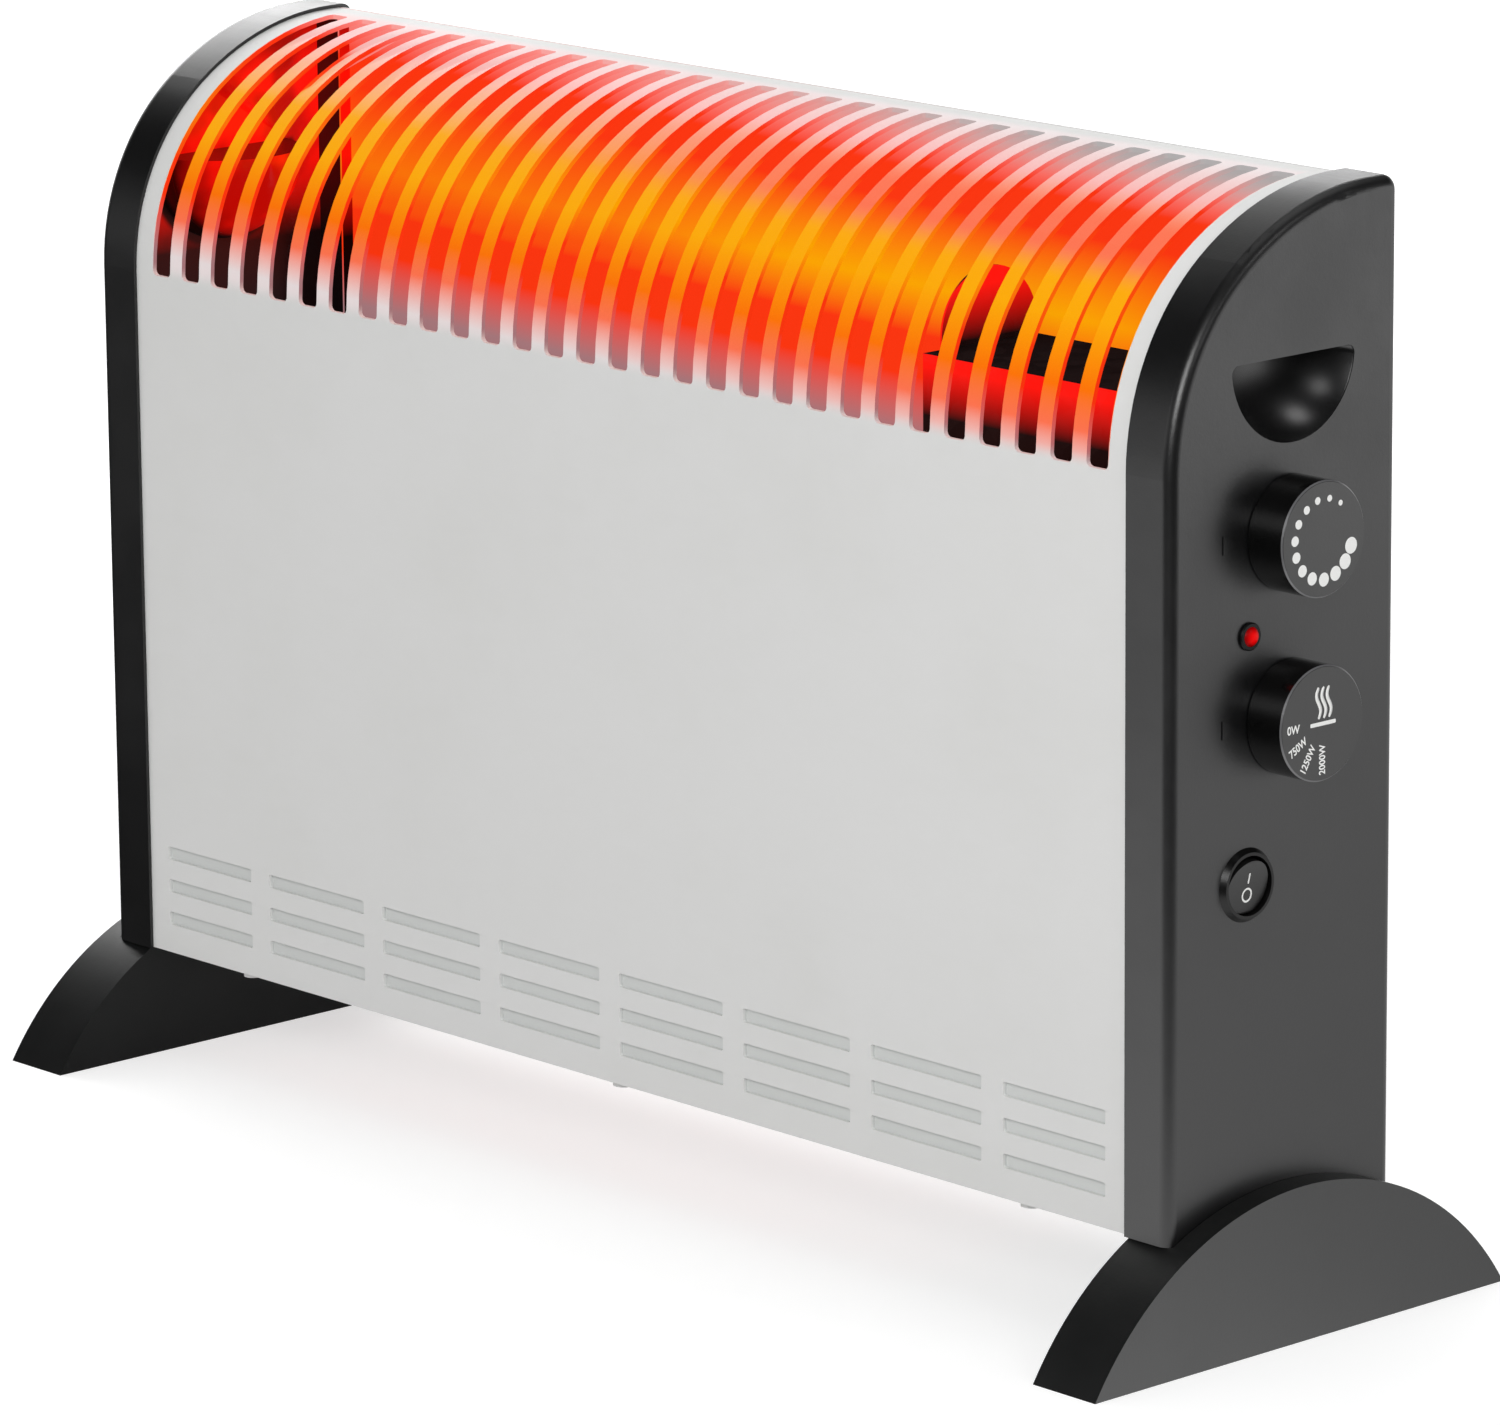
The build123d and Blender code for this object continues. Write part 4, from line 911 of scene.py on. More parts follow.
@dataclass(frozen=True)
class RedLens:
    """Clear red lens over the pilot lamp, with moulded prism rings."""

    name: str
    centre: Vector
    colour: str = "#C00406"
    ring_scale: float = 900.0

    def material(self) -> bpy.types.Material:
        """Build the lens.

        Returns:
            The material.
        """
        surface = Surface(self.name, 0.3)
        wiring = surface.wiring
        source = wiring.coordinates()
        moved = wiring.add("ShaderNodeMapping", {"Vector": source, "Location": -self.centre}).outputs[0]
        rings = wiring.add(
            "ShaderNodeTexWave",
            {"Vector": moved, "Scale": self.ring_scale / 20},
            wave_type="RINGS",
            rings_direction="X",
        ).outputs["Fac"]
        reach = wiring.add("ShaderNodeVectorMath", {0: moved}, operation="LENGTH").outputs["Value"]
        core = wiring.fade(reach, 0.0012, 0.0036, 1.0, 0.0)
        base = wiring.blend(rings, linear(self.colour), linear("#7A0204"))
        surface.feed("Base Color", base)
        surface.feed("Emission Color", wiring.blend(core, linear("#5A0000"), linear("#E00806")))
        surface.plain("Emission Strength", 0.5)
        surface.plain("Specular IOR Level", 0.05)
        surface.bump(rings, 0.00008, 0.5)
        return surface.material


@dataclass(frozen=True)
class Glass:
    """Thin clear glass of the neon bulb, warm from its glow."""

    name: str

    def material(self) -> bpy.types.Material:
        """Build the glass.

        Returns:
            The material.
        """
        surface = Surface(self.name, 0.05)
        wiring = surface.wiring
        surface.plain("Transmission Weight", 0.8)
        bands = wiring.fade(wiring.noise(700.0, 1.0), 0.4, 0.6)
        surface.feed("Base Color", wiring.blend(bands, linear("#FFE9DC"), linear("#FFC9A8")))
        surface.feed("Emission Color", wiring.blend(bands, linear("#3A1204"), linear("#FF6A1E")))
        surface.plain("Emission Strength", 0.8)
        return surface.material


@dataclass(frozen=True)
class Woven:
    """Braided sleeve on the inner leads."""

    name: str
    effects: Effects
    colour: str = "#C9C2B2"
    shade: str = "#8E8675"

    def material(self) -> bpy.types.Material:
        """Build the braid.

        Returns:
            The material.
        """
        surface = Surface(self.name, 0.75)
        wiring = surface.wiring
        source = wiring.coordinates()
        turned = wiring.add(
            "ShaderNodeMapping", {"Vector": source, "Rotation": (0.785, 0.785, 0.0)}
        ).outputs[0]
        strands = wiring.add(
            "ShaderNodeTexWave", {"Vector": turned, "Scale": 260.0, "Distortion": 1.0}
        ).outputs["Fac"]
        across = wiring.add(
            "ShaderNodeTexWave", {"Vector": turned, "Scale": 260.0, "Distortion": 1.0}, bands_direction="Y"
        ).outputs["Fac"]
        braid = wiring.times(strands, across)
        surface.feed("Base Color", wiring.blend(braid, linear(self.shade), linear(self.colour)))
        surface.feed("Roughness", wiring.calc("MULTIPLY_ADD", braid, -0.1, 0.8))
        surface.bump(braid, 0.0001, 0.7)
        return surface.material


@dataclass(frozen=True)
class PrintedInk:
    """White pad-printed ink, a little uneven where it lies thin."""

    name: str
    effects: Effects
    colour: str = "#F2F2F0"

    def material(self) -> bpy.types.Material:
        """Build the ink.

        Returns:
            The material.
        """
        surface = Surface(self.name, 0.5)
        wiring = surface.wiring
        grain = wiring.use(self.effects.grain, Scale=5200.0, Pits=0.3)
        thin = wiring.times(grain.outputs["Mask"], 0.16)
        surface.feed("Base Color", wiring.blend(thin, linear(self.colour), linear("#C4C4C2")))
        surface.feed("Roughness", wiring.calc("MULTIPLY_ADD", grain.outputs["Mask"], 0.1, 0.45))
        surface.bump(grain.outputs["Height"], 0.00001, 0.5)
        return surface.material


def dress(nodes: Iterable[str], material: bpy.types.Material) -> None:
    """Put a material in every slot of some CAD nodes.

    Args:
        nodes: Names of the nodes.
        material: What they are made of.
    """
    for name in nodes:
        for slot in frame["nodes"][name].material_slots:
            slot.material = material
        LOG.info("%s: %s", name, material.name)


def link_new(name: str, data: bpy.types.ID) -> bpy.types.Object:
    """Make an object at the origin and link it to the scene.

    Args:
        name: Its name.
        data: Its mesh, curve, lamp or camera.

    Returns:
        The object.
    """
    made = bpy.data.objects.new(name, data)
    bpy.context.scene.collection.objects.link(made)
    return made


def finish_mesh(made: bmesh.types.BMesh, name: str, material: bpy.types.Material) -> bpy.types.Object:
    """Turn a built mesh into a piece of one material.

    Args:
        made: The mesh as built, which is freed.
        name: Name of the piece.
        material: What it is made of.

    Returns:
        The piece.
    """
    mesh = bpy.data.meshes.new(name)
    made.to_mesh(mesh)
    made.free()
    mesh.materials.append(material)
    return link_new(name, mesh)


def plain_mesh(source: bpy.types.Object, name: str) -> bpy.types.Object:
    """Turn an object with modifiers, or a text, into one plain mesh object.

    Args:
        source: The object to evaluate, which is removed.
        name: Name of the new piece.

    Returns:
        The new object at the origin.
    """
    graph = bpy.context.evaluated_depsgraph_get()
    mesh = bpy.data.meshes.new_from_object(source.evaluated_get(graph))
    mesh.name = name
    bpy.data.objects.remove(source)
    return link_new(name, mesh)


class Generator:
    """A geometry node tree with named inputs, run once on an empty mesh."""

    def __init__(self, name: str, inputs: dict[str, tuple[str, Any]]) -> None:
        """Make the tree with its sockets.

        Args:
            name: The tree's name.
            inputs: Socket type and value by input name.
        """
        self.tree = bpy.data.node_groups.new(name, "GeometryNodeTree")
        self.values = {label: value for label, (_, value) in inputs.items()}
        for label, (kind, _) in inputs.items():
            self.tree.interface.new_socket(label, in_out="INPUT", socket_type=kind)
        self.tree.interface.new_socket("Mesh", in_out="OUTPUT", socket_type="NodeSocketGeometry")
        self.wiring = Wiring(self.tree)
        self.inputs = self.wiring.add("NodeGroupInput").outputs
        self.output = self.wiring.add("NodeGroupOutput").inputs

    def close(self, geometry: Socket) -> None:
        """Realise the instances, set the material and end the tree.

        Args:
            geometry: The socket with the instances.
        """
        real = self.wiring.add("GeometryNodeRealizeInstances", {0: geometry}).outputs[0]
        done = self.wiring.add(
            "GeometryNodeSetMaterial", {"Geometry": real, "Material": self.inputs["Material"]}
        )
        self.tree.links.new(done.outputs[0], self.output[0])

    def make(self, name: str) -> bpy.types.Object:
        """Run the tree and keep its result as a plain mesh.

        Args:
            name: Name of the piece.

        Returns:
            The piece at the origin.
        """
        carrier = link_new(f"{name}_carrier", bpy.data.meshes.new(f"{name}_carrier"))
        modifier = carrier.modifiers.new("shape", "NODES")
        modifier.node_group = self.tree
        for item in self.tree.interface.items_tree:
            if item.item_type == "SOCKET" and item.in_out == "INPUT":
                modifier[item.identifier] = self.values[item.name]
        return plain_mesh(carrier, name)


@dataclass
class DialPlace:
    """Where the face of a dial is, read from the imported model."""

    joint: str
    node: str
    lift: float = 0.02 * MM

    def centre(self) -> Vector:
        """Find the middle of the face.

        Returns:
            The point on the dial's axis, a hair above the face.
        """
        axis = next(j for j in frame["joints"] if j["name"] == self.joint)
        _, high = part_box(self.node)
        return Vector((high.x + self.lift, axis["pos_m"][1], axis["pos_m"][2]))


@dataclass
class ThermostatDial:
    """The upper knob with its row of growing dots."""

    ink: bpy.types.Material
    count: int = 13
    ring_radius: float = 13.1
    first_angle: float = 54.8
    step_angle: float = 24.0
    smallest: float = 1.9
    largest: float = 5.4
    ink_depth: float = 0.03
    place: DialPlace = field(default_factory=lambda: DialPlace("thermostat_turn", "thermostat_knob"))

    def build(self) -> None:
        """Print the dots and ride them on the knob."""
        dots = self.dots().make("thermostat_dots")
        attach(dots, Body.THERMOSTAT.value)
        LOG.info("thermostat_dots: %d faces", len(dots.data.polygons))

    def dots(self) -> Generator:
        """Build the tree that sets the dots on their ring.

        Returns:
            The generator with its sizes filled in.
        """
        made = Generator(
            "growing_dots",
            {
                "Count": ("NodeSocketInt", self.count),
                "Centre": ("NodeSocketVector", self.place.centre()),
                "Ring Radius": ("NodeSocketFloat", self.ring_radius * MM),
                "First Angle": ("NodeSocketFloat", math.radians(self.first_angle)),
                "Step Angle": ("NodeSocketFloat", math.radians(self.step_angle)),
                "Smallest": ("NodeSocketFloat", self.smallest * MM),
                "Largest": ("NodeSocketFloat", self.largest * MM),
                "Ink Depth": ("NodeSocketFloat", self.ink_depth * MM),
                "Material": ("NodeSocketMaterial", self.ink),
            },
        )
        wiring, given = made.wiring, made.inputs
        points = wiring.add("GeometryNodePoints", {"Count": given["Count"]}).outputs[0]
        index = wiring.add("GeometryNodeInputIndex").outputs[0]
        angle = wiring.calc("MULTIPLY_ADD", index, given["Step Angle"], given["First Angle"])
        across = wiring.times(wiring.calc("COSINE", angle), given["Ring Radius"])
        up = wiring.times(wiring.calc("SINE", angle), given["Ring Radius"])
        spot = wiring.add("ShaderNodeCombineXYZ", {"Y": across, "Z": up}).outputs[0]
        spot = wiring.add("ShaderNodeVectorMath", {0: spot, 1: given["Centre"]}, operation="ADD").outputs[0]
        placed = wiring.add("GeometryNodeSetPosition", {"Geometry": points, "Position": spot}).outputs[0]
        last = wiring.minus(given["Count"], 1.0)
        share = wiring.calc("DIVIDE", index, last)
        wide = wiring.calc(
            "MULTIPLY_ADD", share, wiring.minus(given["Largest"], given["Smallest"]), given["Smallest"]
        )
        half = wiring.times(wide, 0.5)
        size = wiring.add(
            "ShaderNodeCombineXYZ", {"X": half, "Y": half, "Z": given["Ink Depth"]}
        ).outputs[0]
        dot = wiring.add(
            "GeometryNodeMeshCone",
            {"Vertices": 40, "Side Segments": 2, "Radius Top": 0.95, "Radius Bottom": 1.0, "Depth": 1.0},
        ).outputs["Mesh"]
        turned = (0.0, math.radians(90.0), 0.0)
        dots = wiring.add(
            "GeometryNodeInstanceOnPoints",
            {"Points": placed, "Instance": dot, "Rotation": turned, "Scale": size},
        ).outputs[0]
        made.close(dots)
        return made


@dataclass(frozen=True)
class PowerStep:
    """One printed step of the power dial: word, angle, start radius and length."""

    words: str
    angle: float
    outer: float
    length: float


@dataclass
class PowerDial:
    """The lower knob with its power steps and heat sign."""

    ink: bpy.types.Material
    steps: tuple[PowerStep, ...] = (
        PowerStep("0W", 180.0, 16.0, 5.7),
        PowerStep("750W", 209.0, 16.8, 8.4),
        PowerStep("1250W", 238.5, 17.0, 9.3),
        PowerStep("2000W", 270.0, 16.7, 9.9),
    )
    letter_height: float = 2.7
    ink_depth: float = 0.03
    wave_low: float = 1.7
    wave_high: float = 12.0
    wave_middle: float = 0.6
    wave_pitch: float = 2.4
    wave_swing: float = 0.95
    wave_width: float = 1.35
    bar_left: float = -5.5
    bar_right: float = 6.1
    bar_z: float = 0.0
    bar_height: float = 1.3
    place: DialPlace = field(default_factory=lambda: DialPlace("power_turn", "power_knob"))

    def build(self) -> None:
        """Print the steps, the waves and the bar under them."""
        centre = self.place.centre()
        for step in self.steps:
            piece = printed_text(
                f"power_label_{step.words}", step.words, self.letter_height, self.ink_depth, self.ink
            )
            seat_text(piece, centre, step)
            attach(piece, Body.POWER.value)
            LOG.info("%s: %d faces", piece.name, len(piece.data.polygons))
        waves = self.waves(centre).make("power_heat_waves")
        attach(waves, Body.POWER.value)
        bar = self.bar(centre)
        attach(bar, Body.POWER.value)
        LOG.info("power_heat_waves: %d faces", len(waves.data.polygons))

    def waves(self, centre: Vector) -> Generator:
        """Build the tree that draws the three rising waves.

        Args:
            centre: Middle of the knob's face.

        Returns:
            The generator with its sizes filled in.
        """
        made = Generator(
            "rising_waves",
            {
                "Start": (
                    "NodeSocketVector",
                    centre + Vector((0, (self.wave_middle - self.wave_pitch) * MM, self.wave_low * MM)),
                ),
                "Length": ("NodeSocketFloat", (self.wave_high - self.wave_low) * MM),
                "Pitch": ("NodeSocketFloat", self.wave_pitch * MM),
                "Swing": ("NodeSocketFloat", self.wave_swing * MM),
                "Width": ("NodeSocketFloat", self.wave_width * MM),
                "Ink Depth": ("NodeSocketFloat", self.ink_depth * MM),
                "Material": ("NodeSocketMaterial", self.ink),
            },
        )
        wiring, given = made.wiring, made.inputs
        end = wiring.add("ShaderNodeCombineXYZ", {"Z": given["Length"]}).outputs[0]
        line = wiring.add("GeometryNodeCurvePrimitiveLine", {"End": end}).outputs[0]
        fine = wiring.add("GeometryNodeResampleCurve", {"Curve": line, "Count": 40}).outputs[0]
        share = wiring.add("GeometryNodeSplineParameter").outputs["Factor"]
        sway = wiring.times(wiring.calc("SINE", wiring.times(share, math.tau)), given["Swing"])
        offset = wiring.add("ShaderNodeCombineXYZ", {"Y": sway}).outputs[0]
        bent = wiring.add("GeometryNodeSetPosition", {"Geometry": fine, "Offset": offset}).outputs[0]
        taper = wiring.calc("POWER", wiring.calc("SINE", wiring.times(share, math.pi)), 0.3)
        scale = wiring.calc("MULTIPLY_ADD", taper, 0.6, 0.4)
        profile = wiring.add(
            "GeometryNodeCurvePrimitiveQuadrilateral", {0: given["Ink Depth"], 1: given["Width"]}
        ).outputs[0]
        inputs = {"Curve": bent, "Profile Curve": profile, "Scale": scale, "Fill Caps": True}
        wave = wiring.add("GeometryNodeCurveToMesh", inputs).outputs[0]
        step = wiring.add("ShaderNodeCombineXYZ", {"Y": given["Pitch"]}).outputs[0]
        row = wiring.add(
            "GeometryNodeMeshLine",
            {"Count": 3, "Start Location": given["Start"], "Offset": step},
            mode="OFFSET",
        ).outputs[0]
        made.close(wiring.add("GeometryNodeInstanceOnPoints", {"Points": row, "Instance": wave}).outputs[0])
        return made

    def bar(self, centre: Vector) -> bpy.types.Object:
        """Print the bar under the waves.

        Args:
            centre: Middle of the knob's face.

        Returns:
            The bar.
        """
        corners = rounded_bar(
            self.bar_left * MM, self.bar_right * MM, self.bar_z * MM, self.bar_height * MM, 0.35 * MM
        )
        outline = [centre + Vector((0, y, z)) for y, z in corners]
        return ink_patch("power_heat_bar", outline, Vector((1, 0, 0)), self.ink_depth * MM, self.ink)


def rounded_bar(
    left: float, right: float, middle: float, height: float, radius: float
) -> list[tuple[float, float]]:
    """List the corners of a bar with rounded ends, counter-clockwise.

    Args:
        left: Left end.
        right: Right end.
        middle: Height of its middle line.
        height: How tall it is.
        radius: Corner radius.

    Returns:
        Points in the face's plane.
    """
    points = []
    low, high = middle - height / 2, middle + height / 2
    for x, y, start in ((right, low, -90), (right, high, 0), (left, high, 90), (left, low, 180)):
        x_in = x - radius if x == right else x + radius
        y_in = y - radius if y == high else y + radius
        for step in range(7):
            angle = math.radians(start + 15 * step)
            points.append((x_in + radius * math.cos(angle), y_in + radius * math.sin(angle)))
    return points


def ink_patch(
    name: str, outline: list[Vector], out: Vector, depth: float, ink: bpy.types.Material
) -> bpy.types.Object:
    """Raise a flat outline into a thin closed patch of ink.

    Args:
        name: Name of the piece.
        outline: Its corners in order.
        out: Direction away from the surface.
        depth: Thickness of the ink.
        ink: Its material.

    Returns:
        The piece.
    """
    made = bmesh.new()
    low = [made.verts.new(p) for p in outline]
    high = [made.verts.new(p + out * depth) for p in outline]
    made.faces.new(high)
    made.faces.new(list(reversed(low)))
    for i in range(len(low)):
        j = (i + 1) % len(low)
        made.faces.new((low[i], low[j], high[j], high[i]))
    bmesh.ops.recalc_face_normals(made, faces=made.faces)
    return finish_mesh(made, name, ink)


def printed_text(
    name: str, words: str, height: float, depth: float, ink: bpy.types.Material
) -> bpy.types.Object:
    """Make a flat mesh of a word, lying in X and Y with its start at the origin.

    Args:
        name: Name of the piece.
        words: What it says.
        height: Height of its capitals in millimetres.
        depth: Thickness of the ink in millimetres.
        ink: Its material.

    Returns:
        The piece.
    """
    curve = bpy.data.curves.new(f"{name}_text", "FONT")
    curve.body = words
    curve.size = height / 0.7 * MM
    curve.extrude = depth / 2 * MM
    curve.offset = 0.03 * height * MM
    curve.align_x = "LEFT"
    curve.align_y = "CENTER"
    curve.resolution_u = 6
    piece = plain_mesh(link_new(f"{name}_text", curve), name)
    piece.data.materials.clear()
    piece.data.materials.append(ink)
    made = bmesh.new()
    made.from_mesh(piece.data)
    bmesh.ops.remove_doubles(made, verts=made.verts, dist=1e-7)
    bmesh.ops.recalc_face_normals(made, faces=made.faces)
    made.to_mesh(piece.data)
    made.free()
    return piece


def seat_text(piece: bpy.types.Object, centre: Vector, step: PowerStep) -> None:
    """Lay a word on a dial so that it reads from the rim towards the centre.

    Args:
        piece: The word, lying in X and Y.
        centre: Middle of the dial's face.
        step: Where it starts and how long it is. Its angle is counter-clockwise
            from +Y seen from outside, in degrees.
    """
    turn = math.radians(step.angle)
    rim = Vector((0, math.cos(turn), math.sin(turn)))
    along, up = -rim, Vector((0, rim.z, -rim.y))
    out = Vector((1, 0, 0))
    axes = Matrix((along, up, out)).transposed().to_4x4()
    if axes.determinant() < 0:
        raise ValueError("the word would be mirrored")
    wide = [v.co.x for v in piece.data.vertices]
    high = [v.co.y for v in piece.data.vertices]
    centred = Matrix.Translation((-min(wide), -(min(high) + max(high)) / 2, 0))
    narrowed = Matrix.Diagonal((step.length * MM / (max(wide) - min(wide)), 1, 1, 1))
    piece.data.transform(Matrix.Translation(centre + rim * step.outer * MM) @ axes @ narrowed @ centred)


@dataclass
class RockerMarks:
    """The on and off marks on the dished face of the rocker."""

    ink: bpy.types.Material
    tilt: float = 10.0
    face_depth: float = 2.3
    dish_radius: float = 50.0
    on_centre: float = 2.9
    on_length: float = 3.7
    off_centre: float = -2.9
    off_radius: float = 2.3
    stroke: float = 0.62
    ink_depth: float = 0.03
    lift: float = 0.02

    def build(self) -> None:
        """Print both marks on the button."""
        half = self.stroke / 2
        line = rounded_bar(-half, half, self.on_centre, self.on_length, half * 0.9)
        self.print_mark("rocker_on_mark", [line])
        rings = []
        for radius in (self.off_radius, self.off_radius - self.stroke):
            rings.append(
                [
                    (
                        radius * math.cos(a), self.off_centre + 1.08 * radius * math.sin(a)
                    ) for a in (math.tau * i / 48 for i in range(48))
                ]
            )
        self.print_mark("rocker_off_mark", rings)

    def on_face(self, across: float, up: float, lift: float) -> Vector:
        """Find a point over the dished face.

        Args:
            across: Distance towards the back of the heater, in millimetres.
            up: Distance up the face, in millimetres.
            lift: Distance off the face, in millimetres.

        Returns:
            The point in metres.
        """
        joint = next(j for j in frame["joints"] if j["name"] == "rocker_press")
        pivot = Vector(joint["pos_m"])
        lean = math.radians(self.tilt)
        out = Vector((math.cos(lean), 0, -math.sin(lean)))
        rise = Vector((math.sin(lean), 0, math.cos(lean)))
        depth = self.face_depth + self.dish_radius - math.sqrt(self.dish_radius**2 - up**2)
        return pivot + (out * (depth + lift) + rise * up + Vector((0, across, 0))) * MM

    def print_mark(self, name: str, loops: list[list[tuple[float, float]]]) -> None:
        """Lay one mark on the face and ride it on the button.

        Args:
            name: Name of the piece.
            loops: Its outline, or its outer and inner outlines.
        """
        made = bmesh.new()
        sheets = []
        for lift in (self.lift, self.lift + self.ink_depth):
            sheets.append([[made.verts.new(self.on_face(x, y, lift)) for x, y in loop] for loop in loops])
        for loop_low, loop_high in zip(*sheets):
            count = len(loop_low)
            for i in range(count):
                j = (i + 1) % count
                made.faces.new((loop_low[i], loop_low[j], loop_high[j], loop_high[i]))
        for sheet in sheets:
            if len(sheet) == 1:
                made.faces.new(sheet[0])
                continue
            outer, inner = sheet
            for i in range(len(outer)):
                j = (i + 1) % len(outer)
                made.faces.new((outer[i], outer[j], inner[j], inner[i]))
        bmesh.ops.recalc_face_normals(made, faces=made.faces)
        piece = finish_mesh(made, name, self.ink)
        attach(piece, Body.ROCKER.value)
        LOG.info("%s: %d faces", name, len(piece.data.polygons))


@dataclass
class Casing:
    """The painted sheet casing: front, back and bottom grille."""

    effects: Effects

    def dress(self) -> None:
        """Paint the sheets."""
        dress(["front_casing"], SheetPaint("front_paint", self.effects, bars=True).material())
        dress(["rear_panel"], SheetPaint("rear_paint", self.effects, flanges=True).material())
        dress(["bottom_grille"], SheetPaint("grille_paint", self.effects).material())


@dataclass
class Mouldings:
    """The end caps, feet, knobs and rocker housing."""

    effects: Effects

    def dress(self) -> None:
        """Give each moulding its plastic."""
        dress(
            ["left_end_cap", "right_end_cap"],
            Moulding("cap_plastic", self.effects, painted_glow_wall=True).material(),
        )
        dress(
            ["left_foot", "right_foot"],
            Moulding("foot_plastic", self.effects, colour="#111212", roughness=0.4).material(),
        )
        knobs = []
        for name in ("thermostat_knob", "power_knob"):
            low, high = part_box(name)
            knobs.append(Knob((high.y - low.y) / 2, (low + high) / 2))
        knob = Moulding(
            "knob_plastic",
            self.effects,
            colour="#080808",
            worn="#0E0E0E",
            roughness=0.32,
            gloss=0.72,
            dust=0.02,
            knobs=tuple(knobs),
        )
        dress(["thermostat_knob", "power_knob"], knob.material())
        switch = Moulding(
            "switch_plastic",
            self.effects,
            colour="#0A0A0A",
            worn="#121212",
            roughness=0.4,
            gloss=0.55,
            grain_depth=0.00001,
            dust=0.02,
        )
        dress(["rocker_button"], switch.material())
        ring = Moulding(
            "ring_plastic",
            self.effects,
            colour="#060606",
            worn="#0C0C0C",
            roughness=0.3,
            gloss=0.28,
            grain_depth=0.00001,
            dust=0.02,
        )
        dress(["rocker_housing"], ring.material())
        bezel = Moulding(
            "bezel_plastic",
            self.effects,
            colour="#060606",
            worn="#0C0C0C",
            roughness=0.4,
            gloss=0.2,
            grain_depth=0.00001,
            dust=0.02,
        )
        dress(["lamp_housing"], bezel.material())


@dataclass
class PilotLamp:
    """The red lens and the neon bulb behind it."""

    def dress(self) -> None:
        """Give the lens and the bulb their finishes."""
        low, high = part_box("lamp_lens")
        centre = Vector((high.x, (low.y + high.y) / 2, (low.z + high.z) / 2))
        dress(["lamp_lens"], RedLens("lamp_red", centre).material())
        dress(["neon_bulb"], Glass("bulb_glass").material())


@dataclass
class HeatingUnit:
    """The finned elements, their brackets and the heat shield."""

    effects: Effects

    def dress(self) -> None:
        """Give the elements, brackets, shield and insulators their finishes, with painted glow light on the
        fins, rods and shield.
        """
        fins = Metal(
            "fin_steel",
            self.effects,
            colour="#5A4A42",
            tarnish="#2E2622",
            roughness=0.5,
            heat="#FF3A08",
            painted_glow_strength=0.7,
        )
        dress(["heating_element_lower", "heating_element_upper"], fins.material())
        rods = Metal(
            "rod_steel_painted_glow",
            self.effects,
            colour="#6A6058",
            tarnish="#3A322C",
            roughness=0.4,
            heat="#D82404",
            painted_glow_strength=0.25,
        )
        dress(["heating_rod_lower", "heating_rod_upper"], rods.material())
        plain = SpangledSteel("coated_sheet", self.effects)
        dress(["left_element_bracket", "right_element_bracket", "cutout_bracket"], plain.material())
        dress(["heat_shield"], SpangledSteel("shield_sheet", self.effects, painted_glow_and_shade=True).material())
        ceramic = Moulding(
            "ceramic",
            self.effects,
            colour="#D8D4CA",
            worn="#B9B2A4",
            roughness=0.55,
            grain_scale=900.0,
            dust=0.1,
        )
        dress(["element_insulators"], ceramic.material())


@dataclass
class ControlGear:
    """Switch bodies, terminals, leads and the cable bush."""

    effects: Effects

    def dress(self) -> None:
        """Give the electrical parts their finishes."""
        control = Moulding(
            "control_plastic",
            self.effects,
            colour="#3A3632",
            worn="#4C4740",
            roughness=0.5,
            grain_scale=1100.0,
        )
        dress(["thermostat_body", "power_switch_body", "thermal_cutout", "tilt_switch"], control.material())
        block = Moulding("terminal_plastic", self.effects, colour="#CFC9BC", worn="#B4AD9E", roughness=0.5)
        dress(["terminal_block"], block.material())
        rubber = Moulding(
            "bush_rubber",
            self.effects,
            colour="#191918",
            worn="#26261F",
            roughness=0.68,
            grain_depth=0.00005,
            dust=0.2,
        )
        dress(["cable_inlet_bush"], rubber.material())
        brass = Metal(
            "brass_bright",
            self.effects,
            colour="#C9A45A",
            tarnish="#7E6232",
            roughness=0.3,
            stretch=(1.0, 1.0, 8.0),
        )
        dress(["blade_terminals", "bush_nuts", "terminal_screws"], brass.material())
        dress(
            ["thermostat_shaft", "power_shaft"],
            Metal("spindle_bright", self.effects, roughness=0.26).material(),
        )
        dress(["inner_leads"], Woven("lead_braid", self.effects).material())


@dataclass
class Fixings:
    """The screws of the casing, feet and brackets."""

    effects: Effects

    def dress(self) -> None:
        """Give the bottom screws white enamel and the other screws plated steel."""
        dress(["bottom_screws"], SheetPaint("screw_enamel", self.effects).material())
        names = [
            n for n in frame["nodes"] if n.endswith("_screws") and n not in (
                "terminal_screws", "bottom_screws"
            )
        ]
        dress(
            names,
            Metal(
                "screw_zinc",
                self.effects,
                colour="#B4B6B8",
                tarnish="#7A7A78",
                roughness=0.28,
                stretch=(1.0, 1.0, 1.0),
                line_scale=500.0,
            ).material(),
        )


